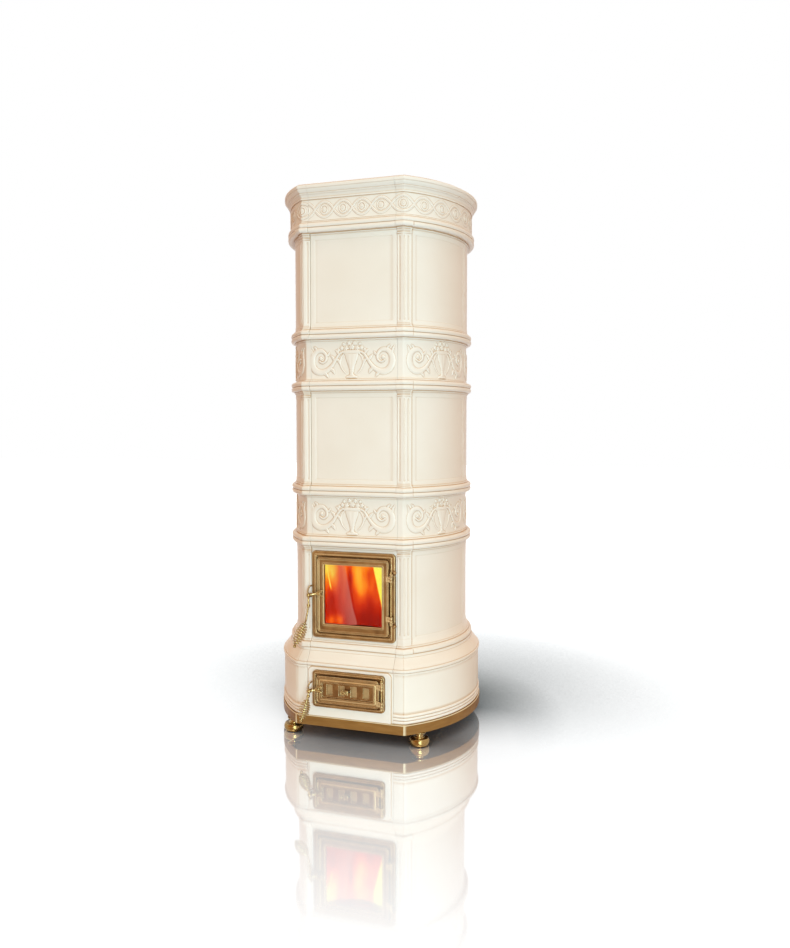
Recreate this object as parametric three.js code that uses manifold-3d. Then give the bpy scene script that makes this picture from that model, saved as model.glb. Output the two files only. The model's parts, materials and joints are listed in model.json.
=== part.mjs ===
// A tall tiled stove: bowed ceramic tile courses on a gilt plinth with four turned feet, a glazed
// fire door and a vented ash door in cast frames, and the firebox and heat store inside.
// Millimetres, +Z up. The front faces -Y. The floor under the middle of the stove is the origin.
import * as THREE from "three";
import { mergeVertices } from "three/addons/utils/BufferGeometryUtils.js";
import Module from "manifold-3d";

// ---------------------------------------------------------------- driving dimensions

// Plan of the plain tile face: a flat front and back joined by two bowed sides.
const BODY_DEPTH = 631;
const FRONT_HALF_WIDTH = 187;
const SIDE_RADIUS = 422;
const SIDE_FACETS = 8;
// The front tile ends here, and the tile that wraps the corner starts.
const FRONT_TILE_HALF_WIDTH = 165;
// How many points at the end of a tile's section make up its inside.
const INSIDE_POINTS = 6;
const CORNICE_INSIDE_POINTS = 8;

// Heights of the courses, from the floor up.
const FOOT_HEIGHT = 50;
const PLINTH_HEIGHT = 37;
const BASE_HEIGHT = 183;
const CAP_HEIGHT = 60;
const FIREBOX_HEIGHT = 389;
const LOWER_FRIEZE_HEIGHT = 185;
const MIDDLE_HEIGHT = 380;
const UPPER_FRIEZE_HEIGHT = 185;
const UPPER_HEIGHT = 379;
const CORNICE_HEIGHT = 152;

// How far each moulding stands out of the plain face.
const PLINTH_REACH = 55;
const BASE_REACH = 49;
const RAISED_PANEL = 5;
const BASE_RIB = 5;
const CAP_REACH = 53;
const CAP_NECK_REACH = 22;
const BELT_REACH = 16;
const TOP_BELT_REACH = 25;
const FRIEZE_SINK = 4;
const RING_BAND_REACH = 14;
const CROWN_REACH = 37;
const TOP_EDGE_REACH = 28;
const BELT_HEIGHT = 22;

// Ceramic: a face with a collar behind it that stiffens the tile.
const TILE_WALL = 16;
const COLLAR_DEPTH = 48;
const COLLAR_FLANGE = 12;
const TILE_JOINT = 0.4;
const SEAM_WIDTH = 3;
const SEAM_DEPTH = 1.5;

// Pilasters on the corners of the plain courses.
const PILASTER_WRAP = 36;
const PILASTER_REACH = 10;
const PILASTER_CANT = 6;
const PILASTER_BLOCK = 34;
const BLOCK_REACH = 6;
const FLUTE_DEPTH = 3;
const FLUTE_WIDTH = 8;

// Plinth tray and feet.
const PLINTH_SKIRT = 3;
const PLINTH_PLATE = 4;
const FOOT_RADIUS = 37;
const FOOT_NECK_RADIUS = 14;
const FOOT_STUD_RADIUS = 8;
const FOOT_INSET = 26;
const FOOT_SETBACK = 8;
const FOOT_FACETS = 16;

// Steel firebox shell.
const SHELL_GAP = 2;
const SHELL_SIDE_GAP = 5;
const SHELL_DEPTH = 416;
const SHELL_WALL = 4;
const SHELL_HALF_WIDTH = FRONT_TILE_HALF_WIDTH - SHELL_SIDE_GAP;
const SHELL_FRONT = COLLAR_DEPTH + SHELL_GAP;
const SHELL_HEADROOM = 24;
const LEDGE_WIDTH = 12;
const LEDGE_HEIGHT = 6;

// Fireclay lining, grate and baffle.
const FIRECLAY = 30;
const HEARTH_DROP = 25;
const LINING_HEIGHT = 318;
const GRATE_WIDTH = 196;
const GRATE_LENGTH = 256;
const GRATE_THICKNESS = 12;
const GRATE_LEDGE = 8;
const GRATE_SLOTS = 9;
const GRATE_SLOT_WIDTH = 9;
const BAFFLE_THICKNESS = 25;
const BAFFLE_GAP = 70;

// Heat store and flue.
const STORE_SIZE = 300;
const DUCT_WIDTH = 160;
const DUCT_DEPTH = 120;
const FLUE_RADIUS = 75;
const FLUE_WALL = 3;
const FLUE_HEIGHT = 1600;
const FLUE_PROUD = 50;
const COLLECTOR_MARGIN = 40;
const COLLAR_BITE = 60;

// Back panel, lid and ash pan.
const PANEL_THICKNESS = 3;
const PANEL_RECESS = 8;
const PANEL_HEM = 18;
const LOUVRES = 7;
const LOUVRE_WIDTH = 12;
const LOUVRE_HEIGHT = 60;
const LID_THICKNESS = 12;
const LID_LEDGE = 16;
const PAN_HEIGHT = 62;
const PAN_WALL = 2;
const PAN_LENGTH = 360;
const PAN_SIDE_ROOM = 6;

// Both doors: a cast frame with a throat, a leaf in its rebate and a long hinge pin.
const FRAME_PROUD = 12;
const FRAME_EDGE = 3;
const FRAME_RADIUS = 14;
const REBATE_DEPTH = 7;
const LEAF_GAP = 1.5;
const LEAF_THICKNESS = 12;
const LEAF_BEAD = 3.5;
const THROAT_WALL = 5;
const HINGE_OUT = 11.5;
const HINGE_STANDOFF = 14;
const KNUCKLE_RADIUS = 6.5;
const KNUCKLE_HEIGHT = 20;
const LUG_HEIGHT = 10;
const LUG_BALL = 7.5;
const PIN_RADIUS = 2.6;

// Fire door.
const FIRE_FRAME_MARGIN_SIDE = 4.5;
const FIRE_FRAME_MARGIN_END = 34;
const FIRE_FRAME_WIDTH = 2 * (FRONT_TILE_HALF_WIDTH - FIRE_FRAME_MARGIN_SIDE);
const FIRE_FRAME_HEIGHT = FIREBOX_HEIGHT - 2 * FIRE_FRAME_MARGIN_END;
const FIRE_BORDER = 20.5;
const FIRE_THROAT_INSET = 35;
const WINDOW_SIDE = 49;
const WINDOW_END = 51.5;
const WINDOW_WIDTH = FIRE_FRAME_WIDTH - 2 * WINDOW_SIDE;
const WINDOW_HEIGHT = FIRE_FRAME_HEIGHT - 2 * WINDOW_END;
const WINDOW_LIFT = 2.5;
const GLASS_THICKNESS = 4;
const GLASS_LAP = 6;
const RETAINER_THICKNESS = 2.5;
const SEAL_WIDTH = 5;
const SEAL_DEPTH = 3;
const FIRE_KNUCKLE_RISE = 72;

// Ash door.
const ASH_FRAME_MARGIN_SIDE = 27;
const ASH_FRAME_MARGIN_END = 24.5;
const ASH_FRAME_WIDTH = 2 * (FRONT_TILE_HALF_WIDTH - ASH_FRAME_MARGIN_SIDE);
const ASH_FRAME_HEIGHT = BASE_HEIGHT - 2 * ASH_FRAME_MARGIN_END;
const ASH_DOOR_RISE = 104;
const ASH_BORDER = 15.5;
const ASH_THROAT_INSET = 27;
const ASH_KNUCKLE_RISE = 30;
const ASH_BEAD_INSET = 20;
const ASH_FIELD = 4;
const VENT_COUNT = 4;
const VENT_PITCH = 46.7;
const VENT_WIDTH = 22;
const VENT_HEIGHT = 38;
const VENT_TRAVEL = 15;
const SLIDE_THICKNESS = 2;
const SLIDE_LAP = 6;
const KNOB_SHANK_RADIUS = 2.4;
const KNOB_LOBE = 6.5;

// Latches: a bar on a pivot, a ball, a bent rod and an open coil grip around the rod's end.
const LATCH_PIVOT_INSET = 11.5;
const LATCH_BOSS_RADIUS = 9;
const LATCH_BOSS_HEIGHT = 12;
const LATCH_PIN_RADIUS = 3;
const LATCH_BALL = 8;
const LATCH_ARM = 5;
const TONGUE_RADIUS = 4.5;
const KEEPER_THICKNESS = 5.5;
const KEEPER_GAP = 1.5;
const KEEPER_FRONT = 21;
const ROD_RADIUS = 3.2;
const WIRE_RADIUS = 1.9;
const COIL_RADIUS = 20;
const COIL_TURNS = 9;
const COIL_STEPS = 8;
const COIL_SIDES = 5;
// Where the two handles run, from their door's centre on the tile face: x, y and z of the ball,
// the collar under it, the start of the coil and its end.
const FIRE_HANDLE = [[-160, -45, 1.5], [-160, -46, -38], [-163, -70.5, -97.5], [-178, -127.5, -168.5]];
const ASH_HANDLE = [[-137, -43, -1.5], [-137, -50, -18], [-138, -58.5, -28], [-150, -84, -98]];
const FIRE_PIVOT_RISE = 7.5;
const ASH_PIVOT_RISE = 3;

// Gaps kept between neighbours.
const CLEAR = 0.3;
const RUN_CLEAR = 0.5;

// ---------------------------------------------------------------- materials

function material(color, roughness, metalness, extra = {}) {
  return new THREE.MeshStandardMaterial({ color, roughness, metalness, ...extra });
}

const ceramic = material(0xf3ebdd, 0.22, 0);
const antiqueBrass = material(0x8a683a, 0.42, 1);
const polishedBrass = material(0xb8924a, 0.25, 1);
const giltSteel = material(0x9a6a2c, 0.35, 0.9);
const enamel = material(0xe6dccb, 0.5, 0.1);
const steel = material(0x55565a, 0.5, 0.9);
const castIron = material(0x3a3836, 0.7, 0.8);
const fireclay = material(0xc9b48f, 0.9, 0);
const glass = material(0xffe2c0, 0.05, 0, { transparent: true, opacity: 0.3 });
const sealRope = material(0x6d6a66, 0.95, 0);

// ---------------------------------------------------------------- solids

const wasm = await Module();
wasm.setup();

// A closed geometry as a solid that can be cut and joined.
function solidOf(geometry) {
  const bare = geometry.clone();
  bare.deleteAttribute("normal");
  bare.deleteAttribute("uv");
  const merged = mergeVertices(bare, 1e-5);
  return new wasm.Manifold(new wasm.Mesh({
    numProp: 3,
    vertProperties: Float32Array.from(merged.attributes.position.array),
    triVerts: Uint32Array.from(merged.index.array),
  }));
}

// A solid back as a geometry with flat facets.
function geometryOf(solid) {
  const mesh = solid.getMesh();
  const geometry = new THREE.BufferGeometry();
  geometry.setAttribute("position", new THREE.BufferAttribute(mesh.vertProperties, 3));
  geometry.setIndex(new THREE.BufferAttribute(mesh.triVerts, 1));
  const flat = geometry.toNonIndexed();
  flat.computeVertexNormals();
  return flat;
}

function join(first, ...others) {
  const whole = others.reduce((sum, next) => sum.add(solidOf(next)), solidOf(first));
  return geometryOf(whole);
}

function cut(body, ...tools) {
  const rest = tools.reduce((left, tool) => left.subtract(solidOf(tool)), solidOf(body));
  return geometryOf(rest);
}

// Skins a row of rings with the same number of points. A looped row closes on its first ring; an
// open row is capped at both ends with its section, a flat outline with the same number of points.
function skin(rings, section) {
  const count = rings[0].length;
  const spans = section ? rings.length - 1 : rings.length;
  const faces = [];
  for (let i = 0; i < spans; i++) {
    const a = i * count;
    const b = ((i + 1) % rings.length) * count;
    for (let j = 0; j < count; j++) {
      const k = (j + 1) % count;
      faces.push(a + j, b + j, a + k, a + k, b + j, b + k);
    }
  }
  if (section) {
    const outline = section.map(([u, v]) => new THREE.Vector2(u, v));
    const turned = THREE.ShapeUtils.isClockWise(outline);
    const caps = THREE.ShapeUtils.triangulateShape(outline, []);
    const last = (rings.length - 1) * count;
    for (const [p, q, r] of caps) {
      const [s, t] = turned ? [r, q] : [q, r];
      faces.push(p, s, t);
      faces.push(last + p, last + t, last + s);
    }
  }
  const geometry = new THREE.BufferGeometry();
  geometry.setAttribute("position", new THREE.Float32BufferAttribute(rings.flat(2), 3));
  geometry.setIndex(facingOut(rings.flat(), faces));
  const flat = geometry.toNonIndexed();
  flat.computeVertexNormals();
  return flat;
}

// Turns a closed set of faces over if its volume comes out negative.
function facingOut(points, faces) {
  let volume = 0;
  for (let i = 0; i < faces.length; i += 3) {
    const [a, b, c] = [0, 1, 2].map((n) => new THREE.Vector3(...points[faces[i + n]]));
    volume += a.dot(b.cross(c));
  }
  return volume < 0 ? faces.reverse() : faces;
}

// A flat outline as a shape.
function shapeOf(points) {
  return new THREE.Shape(points.map(([u, v]) => new THREE.Vector2(u, v)));
}

// An outline in x and y pulled up from one height to another.
function prismUp(points, low, high) {
  const options = { depth: high - low, bevelEnabled: false };
  return new THREE.ExtrudeGeometry(shapeOf(points), options).translate(0, 0, low);
}

// An outline in y and z pulled along x.
function prismAlong(points, left, right) {
  const options = { depth: right - left, bevelEnabled: false };
  const geometry = new THREE.ExtrudeGeometry(shapeOf(points), options);
  const turn = new THREE.Matrix4().set(0, 0, 1, 0, 1, 0, 0, 0, 0, 1, 0, 0, 0, 0, 0, 1);
  return geometry.applyMatrix4(turn).translate(left, 0, 0);
}

// An outline in x and z pulled back along y.
function prismBack(points, front, back) {
  const options = { depth: back - front, bevelEnabled: false };
  return new THREE.ExtrudeGeometry(shapeOf(points), options).rotateX(Math.PI / 2).translate(0, back, 0);
}

// A box from its lowest to its highest corner.
function block([x0, y0, z0], [x1, y1, z1]) {
  const geometry = new THREE.BoxGeometry(x1 - x0, y1 - y0, z1 - z0);
  return geometry.translate((x0 + x1) / 2, (y0 + y1) / 2, (z0 + z1) / 2);
}

// A round bar between two points, which may taper.
function bar(from, to, startRadius, endRadius = startRadius, sides = 8) {
  const a = new THREE.Vector3(...from);
  const b = new THREE.Vector3(...to);
  const geometry = new THREE.CylinderGeometry(endRadius, startRadius, a.distanceTo(b), sides);
  const turn = new THREE.Quaternion().setFromUnitVectors(
    new THREE.Vector3(0, 1, 0),
    b.clone().sub(a).normalize(),
  );
  return geometry.applyQuaternion(turn).translate(...a.add(b).multiplyScalar(0.5).toArray());
}

function ball([x, y, z], radius, sides = 8) {
  return new THREE.SphereGeometry(radius, sides, sides - 2).translate(x, y, z);
}

// A turned piece: radius and height points that start and end on the axis.
function turned(profile, sides) {
  const points = profile.map(([radius, height]) => new THREE.Vector2(radius, height));
  return new THREE.LatheGeometry(points, sides).rotateX(Math.PI / 2);
}

// The same piece on the other side of the stove.
function mirrored(geometry) {
  const loose = geometry.index ? geometry.toNonIndexed() : geometry.clone();
  const twin = loose.scale(-1, 1, 1);
  const positions = twin.attributes.position;
  for (let i = 0; i < positions.count; i += 3) {
    const [b, c] = [1, 2].map((n) => new THREE.Vector3().fromBufferAttribute(positions, i + n));
    positions.setXYZ(i + 1, ...c.toArray());
    positions.setXYZ(i + 2, ...b.toArray());
  }
  twin.computeVertexNormals();
  return twin;
}

// ---------------------------------------------------------------- plan of the stove

const bowCentreX = FRONT_HALF_WIDTH - Math.sqrt(SIDE_RADIUS ** 2 - (BODY_DEPTH / 2) ** 2);

// A point of the right side: share runs from 0 at the front corner to 1 at the back corner, and
// reach is how far the point stands out of the plain face.
function sidePoint(share, reach) {
  const radius = SIDE_RADIUS + reach;
  const halfAngle = Math.asin((BODY_DEPTH / 2 + reach) / radius);
  const angle = halfAngle * (2 * share - 1);
  return [bowCentreX + radius * Math.cos(angle), BODY_DEPTH / 2 + radius * Math.sin(angle)];
}

// How far out the bow lies at a given distance behind the plain front face.
function bowX(y, reach) {
  return bowCentreX + Math.sqrt((SIDE_RADIUS + reach) ** 2 - (BODY_DEPTH / 2 - y) ** 2);
}

// The whole plan as one outline.
function planOutline(reach) {
  const shares = Array.from({ length: SIDE_FACETS + 1 }, (_, i) => i / SIDE_FACETS);
  const right = shares.map((share) => sidePoint(share, reach));
  const left = right.map(([x, y]) => [-x, y]).reverse();
  return [...right, ...left];
}

// ---------------------------------------------------------------- tile courses

// A half-round belt that starts at a joint, as reach and height points that leave the joint.
function belt(reach, face) {
  return [
    [reach - 4, 0],
    [reach, 0.25 * BELT_HEIGHT],
    [reach, 0.6 * BELT_HEIGHT],
    [reach - 5, 0.85 * BELT_HEIGHT],
    [face + 1, 1.1 * BELT_HEIGHT],
    [face, 1.2 * BELT_HEIGHT],
  ];
}

// The same points seen from the joint above.
function under(points, height) {
  return points.map(([reach, rise]) => [reach, height - rise]).reverse();
}

// The inside of a tile, from its top edge down: the wall and the collar's two flanges.
function collar(height, face) {
  const inside = face - TILE_WALL;
  const deep = Math.max(face, 0) - COLLAR_DEPTH;
  return [
    [deep, height],
    [deep, height - COLLAR_FLANGE],
    [inside, height - COLLAR_FLANGE],
    [inside, COLLAR_FLANGE],
    [deep, COLLAR_FLANGE],
    [deep, 0],
  ];
}

function plainProfile(height, lowReach, highReach) {
  return [...belt(lowReach, 0), ...under(belt(highReach, 0), height), ...collar(height, 0)];
}

function friezeProfile(height) {
  const field = -FRIEZE_SINK;
  return [...belt(BELT_REACH, field), ...under(belt(BELT_REACH, field), height), ...collar(height, field)];
}

// Three ribs round the foot of the base course.
function baseProfile(height) {
  const ribs = [0, 1, 2].flatMap((n) => {
    const middle = BASE_RIB * (1.4 + 2.4 * n);
    return [
      [BASE_REACH, middle - BASE_RIB],
      [BASE_REACH + 0.8 * BASE_RIB, middle - 0.5 * BASE_RIB],
      [BASE_REACH + 0.8 * BASE_RIB, middle + 0.5 * BASE_RIB],
      [BASE_REACH, middle + BASE_RIB],
    ];
  });
  return [[BASE_REACH, 0], ...ribs, [BASE_REACH, height], ...collar(height, BASE_REACH)];
}

// The sloping cap between the wide base and the body.
function capProfile(height) {
  const span = CAP_REACH - CAP_NECK_REACH;
  return [
    [CAP_REACH - 2, 0],
    [CAP_REACH, 0.08 * height],
    [CAP_REACH - 1, 0.17 * height],
    [CAP_REACH - 0.2 * span, 0.29 * height],
    [CAP_NECK_REACH + 0.45 * span, 0.5 * height],
    [CAP_NECK_REACH + 0.12 * span, 0.72 * height],
    [CAP_NECK_REACH, 0.84 * height],
    [CAP_NECK_REACH, height],
    ...collar(height, 0),
  ];
}

// Bottom belt, band for the ring ornament, and a crown that is widest just under its top edge.
function corniceProfile(height) {
  const crown = CROWN_REACH - RING_BAND_REACH;
  const ledge = height - LID_LEDGE;
  const inside = -TILE_WALL;
  return [
    [TOP_BELT_REACH - 4, 0],
    [TOP_BELT_REACH, 0.25 * BELT_HEIGHT],
    [TOP_BELT_REACH, 0.6 * BELT_HEIGHT],
    [RING_BAND_REACH, BELT_HEIGHT],
    [RING_BAND_REACH, 0.65 * height],
    [RING_BAND_REACH + 3, 0.67 * height],
    [RING_BAND_REACH + 3, 0.71 * height],
    [RING_BAND_REACH + 1, 0.73 * height],
    [RING_BAND_REACH + 0.4 * crown, 0.78 * height],
    [RING_BAND_REACH + 0.75 * crown, 0.83 * height],
    [CROWN_REACH - 2, 0.91 * height],
    [CROWN_REACH, 0.95 * height],
    [TOP_EDGE_REACH, height],
    [inside, height],
    [inside, ledge],
    [-COLLAR_DEPTH, ledge],
    [-COLLAR_DEPTH, ledge - COLLAR_FLANGE],
    [inside, ledge - COLLAR_FLANGE],
    [inside, COLLAR_FLANGE],
    [-COLLAR_DEPTH, COLLAR_FLANGE],
    [-COLLAR_DEPTH, 0],
  ];
}

// A flat front tile: the profile pulled straight across.
function frontTile(profile) {
  const half = FRONT_TILE_HALF_WIDTH - TILE_JOINT / 2;
  return prismAlong(profile.map(([reach, z]) => [-reach, z]), -half, half);
}

// A right-hand tile: the profile swept from the joint on the front, round the corner, along the
// bow and round the back corner, with true mitres at the corners. Each bow is two tiles long: a
// grouted seam runs down its middle. The face's points come first in the profile.
function sideTile(profile, facePoints) {
  const joint = FRONT_TILE_HALF_WIDTH + TILE_JOINT / 2;
  const seam = SEAM_WIDTH / (4 * Math.asin((BODY_DEPTH / 2) / SIDE_RADIUS) * SIDE_RADIUS);
  const even = Array.from({ length: SIDE_FACETS + 1 }, (_, i) => i / SIDE_FACETS);
  const shares = [...even, 0.5 - seam, 0.5 + seam].sort((a, b) => a - b);
  const stations = [
    (reach) => [joint, -reach],
    ...shares.map((share) => (reach, isFace) => (
      sidePoint(share, isFace && share === 0.5 ? reach - SEAM_DEPTH : reach)
    )),
    (reach) => [joint, BODY_DEPTH + reach],
  ];
  return skin(
    stations.map((station) => profile.map(([reach, z], i) => [...station(reach, i < facePoints), z])),
    profile,
  );
}

// The share of the bow that lies a given length past the front corner.
function shareAt(length, reach) {
  const radius = SIDE_RADIUS + reach;
  return length / (2 * Math.asin((BODY_DEPTH / 2 + reach) / radius) * radius);
}

// Plan of a pilaster part that wraps the front corner: it starts canted at the front joint, comes
// to an edge on the corner and runs on along the bow.
function pilasterPlan(reach, middles = []) {
  const joint = FRONT_TILE_HALF_WIDTH + TILE_JOINT / 2;
  const root = -TILE_WALL / 2;
  const corner = sidePoint(0, reach);
  const start = [joint, -(reach - PILASTER_CANT)];
  const span = Math.hypot(corner[0] - start[0], corner[1] - start[1]);
  const at = (length, depth) => {
    if (length > span) return sidePoint(shareAt(length - span, reach), reach - depth);
    const share = length / span;
    return [start[0] + share * (corner[0] - start[0]), start[1] + share * (corner[1] - start[1]) + depth];
  };
  const flutes = middles.map((share) => share * (span + PILASTER_WRAP));
  const front = flutes.flatMap((middle) => [
    at(middle - FLUTE_WIDTH / 2, 0),
    at(middle, FLUTE_DEPTH),
    at(middle + FLUTE_WIDTH / 2, 0),
  ]);
  const isPast = ([x]) => x > corner[0];
  const wrapEnd = shareAt(PILASTER_WRAP, reach);
  return [
    [joint, -root],
    start,
    ...front.filter((point) => !isPast(point)),
    corner,
    ...front.filter(isPast),
    sidePoint(wrapEnd, reach),
    sidePoint(wrapEnd, root),
    sidePoint(0, root),
  ];
}

const FLUTE_PLACES = [0.2, 0.56, 0.82];

// A fluted shaft between a base block and a capital, which break forward over the belts.
function pilaster(height, lowReach, highReach) {
  const lowTop = PILASTER_BLOCK;
  const highBottom = height - PILASTER_BLOCK;
  return [
    prismUp(pilasterPlan(PILASTER_REACH, FLUTE_PLACES), lowTop - 1, highBottom + 1),
    prismUp(pilasterPlan(lowReach + BLOCK_REACH), 0, BELT_HEIGHT),
    prismUp(pilasterPlan(PILASTER_REACH + BLOCK_REACH / 2), BELT_HEIGHT - 1, lowTop),
    prismUp(pilasterPlan(PILASTER_REACH + BLOCK_REACH / 2), highBottom, height - BELT_HEIGHT + 1),
    prismUp(pilasterPlan(highReach + BLOCK_REACH), height - BELT_HEIGHT, height),
  ];
}

// The pilaster's blocks where they pass over a frieze's two belts.
function friezeBlocks(height) {
  const plan = pilasterPlan(BELT_REACH + BLOCK_REACH);
  return [prismUp(plan, 0, BELT_HEIGHT), prismUp(plan, height - BELT_HEIGHT, height)];
}

// ---------------------------------------------------------------- scene

const stove = new THREE.Group();
const body = new THREE.Group();
stove.add(body);

function add(parent, name, geometry, look, position = [0, 0, 0]) {
  const mesh = new THREE.Mesh(geometry, look.clone());
  mesh.name = name;
  mesh.position.set(...position);
  parent.add(mesh);
  return mesh;
}

// Heights at which the courses start.
const plinthBottom = FOOT_HEIGHT;
const baseBottom = plinthBottom + PLINTH_HEIGHT;
const capBottom = baseBottom + BASE_HEIGHT;
const fireboxBottom = capBottom + CAP_HEIGHT;
const lowerFriezeBottom = fireboxBottom + FIREBOX_HEIGHT;
const middleBottom = lowerFriezeBottom + LOWER_FRIEZE_HEIGHT;
const upperFriezeBottom = middleBottom + MIDDLE_HEIGHT;
const upperBottom = upperFriezeBottom + UPPER_FRIEZE_HEIGHT;
const corniceBottom = upperBottom + UPPER_HEIGHT;
const stoveTop = corniceBottom + CORNICE_HEIGHT;

const fireDoorZ = fireboxBottom + FIREBOX_HEIGHT / 2;
const ashDoorZ = baseBottom + ASH_DOOR_RISE;
const ashFaceY = -(BASE_REACH + RAISED_PANEL);

// Half sizes of the hole through a door frame, and of the cut in the tile around its throat.
const fireThroatX = FIRE_FRAME_WIDTH / 2 - FIRE_THROAT_INSET;
const fireThroatZ = FIRE_FRAME_HEIGHT / 2 - FIRE_THROAT_INSET;
const ashThroatX = ASH_FRAME_WIDTH / 2 - ASH_THROAT_INSET;
const ashThroatZ = ASH_FRAME_HEIGHT / 2 - ASH_THROAT_INSET;
const throatRoom = THROAT_WALL + 1;

// ---------------------------------------------------------------- plinth and feet

function plinth() {
  const top = PLINTH_HEIGHT - TILE_JOINT;
  return cut(
    prismUp(planOutline(PLINTH_REACH), 0, top),
    prismUp(planOutline(PLINTH_REACH - PLINTH_SKIRT), -1, top - PLINTH_PLATE),
  );
}

// A turned bun foot with a stud that goes up to the plinth plate.
function foot() {
  const studTop = baseBottom - TILE_JOINT - PLINTH_PLATE - CLEAR;
  const neck = 0.76 * FOOT_HEIGHT;
  const flare = FOOT_HEIGHT - CLEAR;
  return turned([
    [0, 0],
    [0.66 * FOOT_RADIUS, 0],
    [0.9 * FOOT_RADIUS, 0.08 * FOOT_HEIGHT],
    [FOOT_RADIUS, 0.24 * FOOT_HEIGHT],
    [0.97 * FOOT_RADIUS, 0.4 * FOOT_HEIGHT],
    [0.78 * FOOT_RADIUS, 0.56 * FOOT_HEIGHT],
    [1.2 * FOOT_NECK_RADIUS, 0.65 * FOOT_HEIGHT],
    [FOOT_NECK_RADIUS, neck],
    [1.15 * FOOT_NECK_RADIUS, 0.88 * FOOT_HEIGHT],
    [1.7 * FOOT_NECK_RADIUS, flare],
    [FOOT_STUD_RADIUS, flare],
    [FOOT_STUD_RADIUS, studTop],
    [0, studTop],
  ], FOOT_FACETS);
}

add(body, "plinth", plinth(), giltSteel, [0, 0, plinthBottom]);
const footX = bowX(FOOT_SETBACK, PLINTH_REACH) - FOOT_INSET;
for (const [end, y] of [["front", FOOT_SETBACK], ["rear", BODY_DEPTH - FOOT_SETBACK]]) {
  for (const [side, sign] of [["left", -1], ["right", 1]]) {
    add(body, `foot_${end}_${side}`, foot(), polishedBrass, [sign * footX, y, 0]);
  }
}

// ---------------------------------------------------------------- tiles

// A raised panel with rounded top corners stands out of the base's front tile around the ash door.
function baseFront(profile) {
  const half = FRONT_TILE_HALF_WIDTH - TILE_JOINT / 2;
  const raise = -(BASE_REACH + RAISED_PANEL);
  const height = BASE_HEIGHT - TILE_JOINT;
  const panel = new THREE.Shape();
  const radius = FRAME_RADIUS;
  const top = height - RAISED_PANEL;
  const side = half - BASE_RIB;
  panel.moveTo(-side, 0);
  panel.lineTo(side, 0);
  panel.lineTo(side, top - radius);
  panel.absarc(side - radius, top - radius, radius, 0, Math.PI / 2, false);
  panel.absarc(radius - side, top - radius, radius, Math.PI / 2, Math.PI, false);
  const plate = prismBack(panel.getPoints(3).map(({ x, y }) => [x, y]), raise, -BASE_REACH + 1);
  const rise = ASH_DOOR_RISE;
  const opening = block(
    [-ashThroatX - throatRoom, raise - 1, rise - ashThroatZ - throatRoom],
    [ashThroatX + throatRoom, COLLAR_DEPTH, rise + ashThroatZ + throatRoom],
  );
  return cut(join(frontTile(profile), plate), opening);
}

// The firebox course's front tile has a hole for the throat of the fire door.
function fireboxFront(profile) {
  const [halfX, halfZ] = [fireThroatX + throatRoom, fireThroatZ + throatRoom];
  const middle = FIREBOX_HEIGHT / 2;
  const opening = block([-halfX, -BELT_REACH, middle - halfZ], [halfX, 2 * COLLAR_DEPTH, middle + halfZ]);
  return cut(frontTile(profile), opening);
}

function addCourse(name, bottom, profile, front, details = [], insidePoints = INSIDE_POINTS) {
  const bow = sideTile(profile, profile.length - insidePoints);
  const side = details.length ? join(bow, ...details) : bow;
  add(body, `${name}_front`, front, ceramic, [0, 0, bottom]);
  add(body, `${name}_left`, mirrored(side), ceramic, [0, 0, bottom]);
  add(body, `${name}_right`, side, ceramic, [0, 0, bottom]);
}

function addTiles() {
  const base = baseProfile(BASE_HEIGHT - TILE_JOINT);
  addCourse("base", baseBottom, base, baseFront(base));

  const cap = capProfile(CAP_HEIGHT - TILE_JOINT);
  addCourse("cap", capBottom, cap, frontTile(cap));

  const fireboxHeight = FIREBOX_HEIGHT - TILE_JOINT;
  const firebox = plainProfile(fireboxHeight, CAP_NECK_REACH - 1, BELT_REACH);
  const fireboxPilaster = pilaster(fireboxHeight, CAP_NECK_REACH - 1, BELT_REACH);
  addCourse("firebox", fireboxBottom, firebox, fireboxFront(firebox), fireboxPilaster);

  const plain = [
    ["middle", middleBottom, MIDDLE_HEIGHT - TILE_JOINT, BELT_REACH],
    ["upper", upperBottom, UPPER_HEIGHT - TILE_JOINT, TOP_BELT_REACH],
  ];
  for (const [name, bottom, height, highReach] of plain) {
    const profile = plainProfile(height, BELT_REACH, highReach);
    addCourse(name, bottom, profile, frontTile(profile), pilaster(height, BELT_REACH, highReach));
  }

  const friezes = [
    ["lower_frieze", lowerFriezeBottom, LOWER_FRIEZE_HEIGHT - TILE_JOINT],
    ["upper_frieze", upperFriezeBottom, UPPER_FRIEZE_HEIGHT - TILE_JOINT],
  ];
  for (const [name, bottom, height] of friezes) {
    const profile = friezeProfile(height);
    addCourse(name, bottom, profile, frontTile(profile), friezeBlocks(height));
  }

  const cornice = corniceProfile(CORNICE_HEIGHT);
  addCourse("cornice", corniceBottom, cornice, frontTile(cornice), [], CORNICE_INSIDE_POINTS);
}

addTiles();

// ---------------------------------------------------------------- lid and back panel

const lidBottom = stoveTop - LID_LEDGE + CLEAR;
const lid = prismUp(planOutline(-TILE_WALL - TILE_JOINT), 0, LID_THICKNESS);
add(body, "top_lid", lid, ceramic, [0, 0, lidBottom]);

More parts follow.
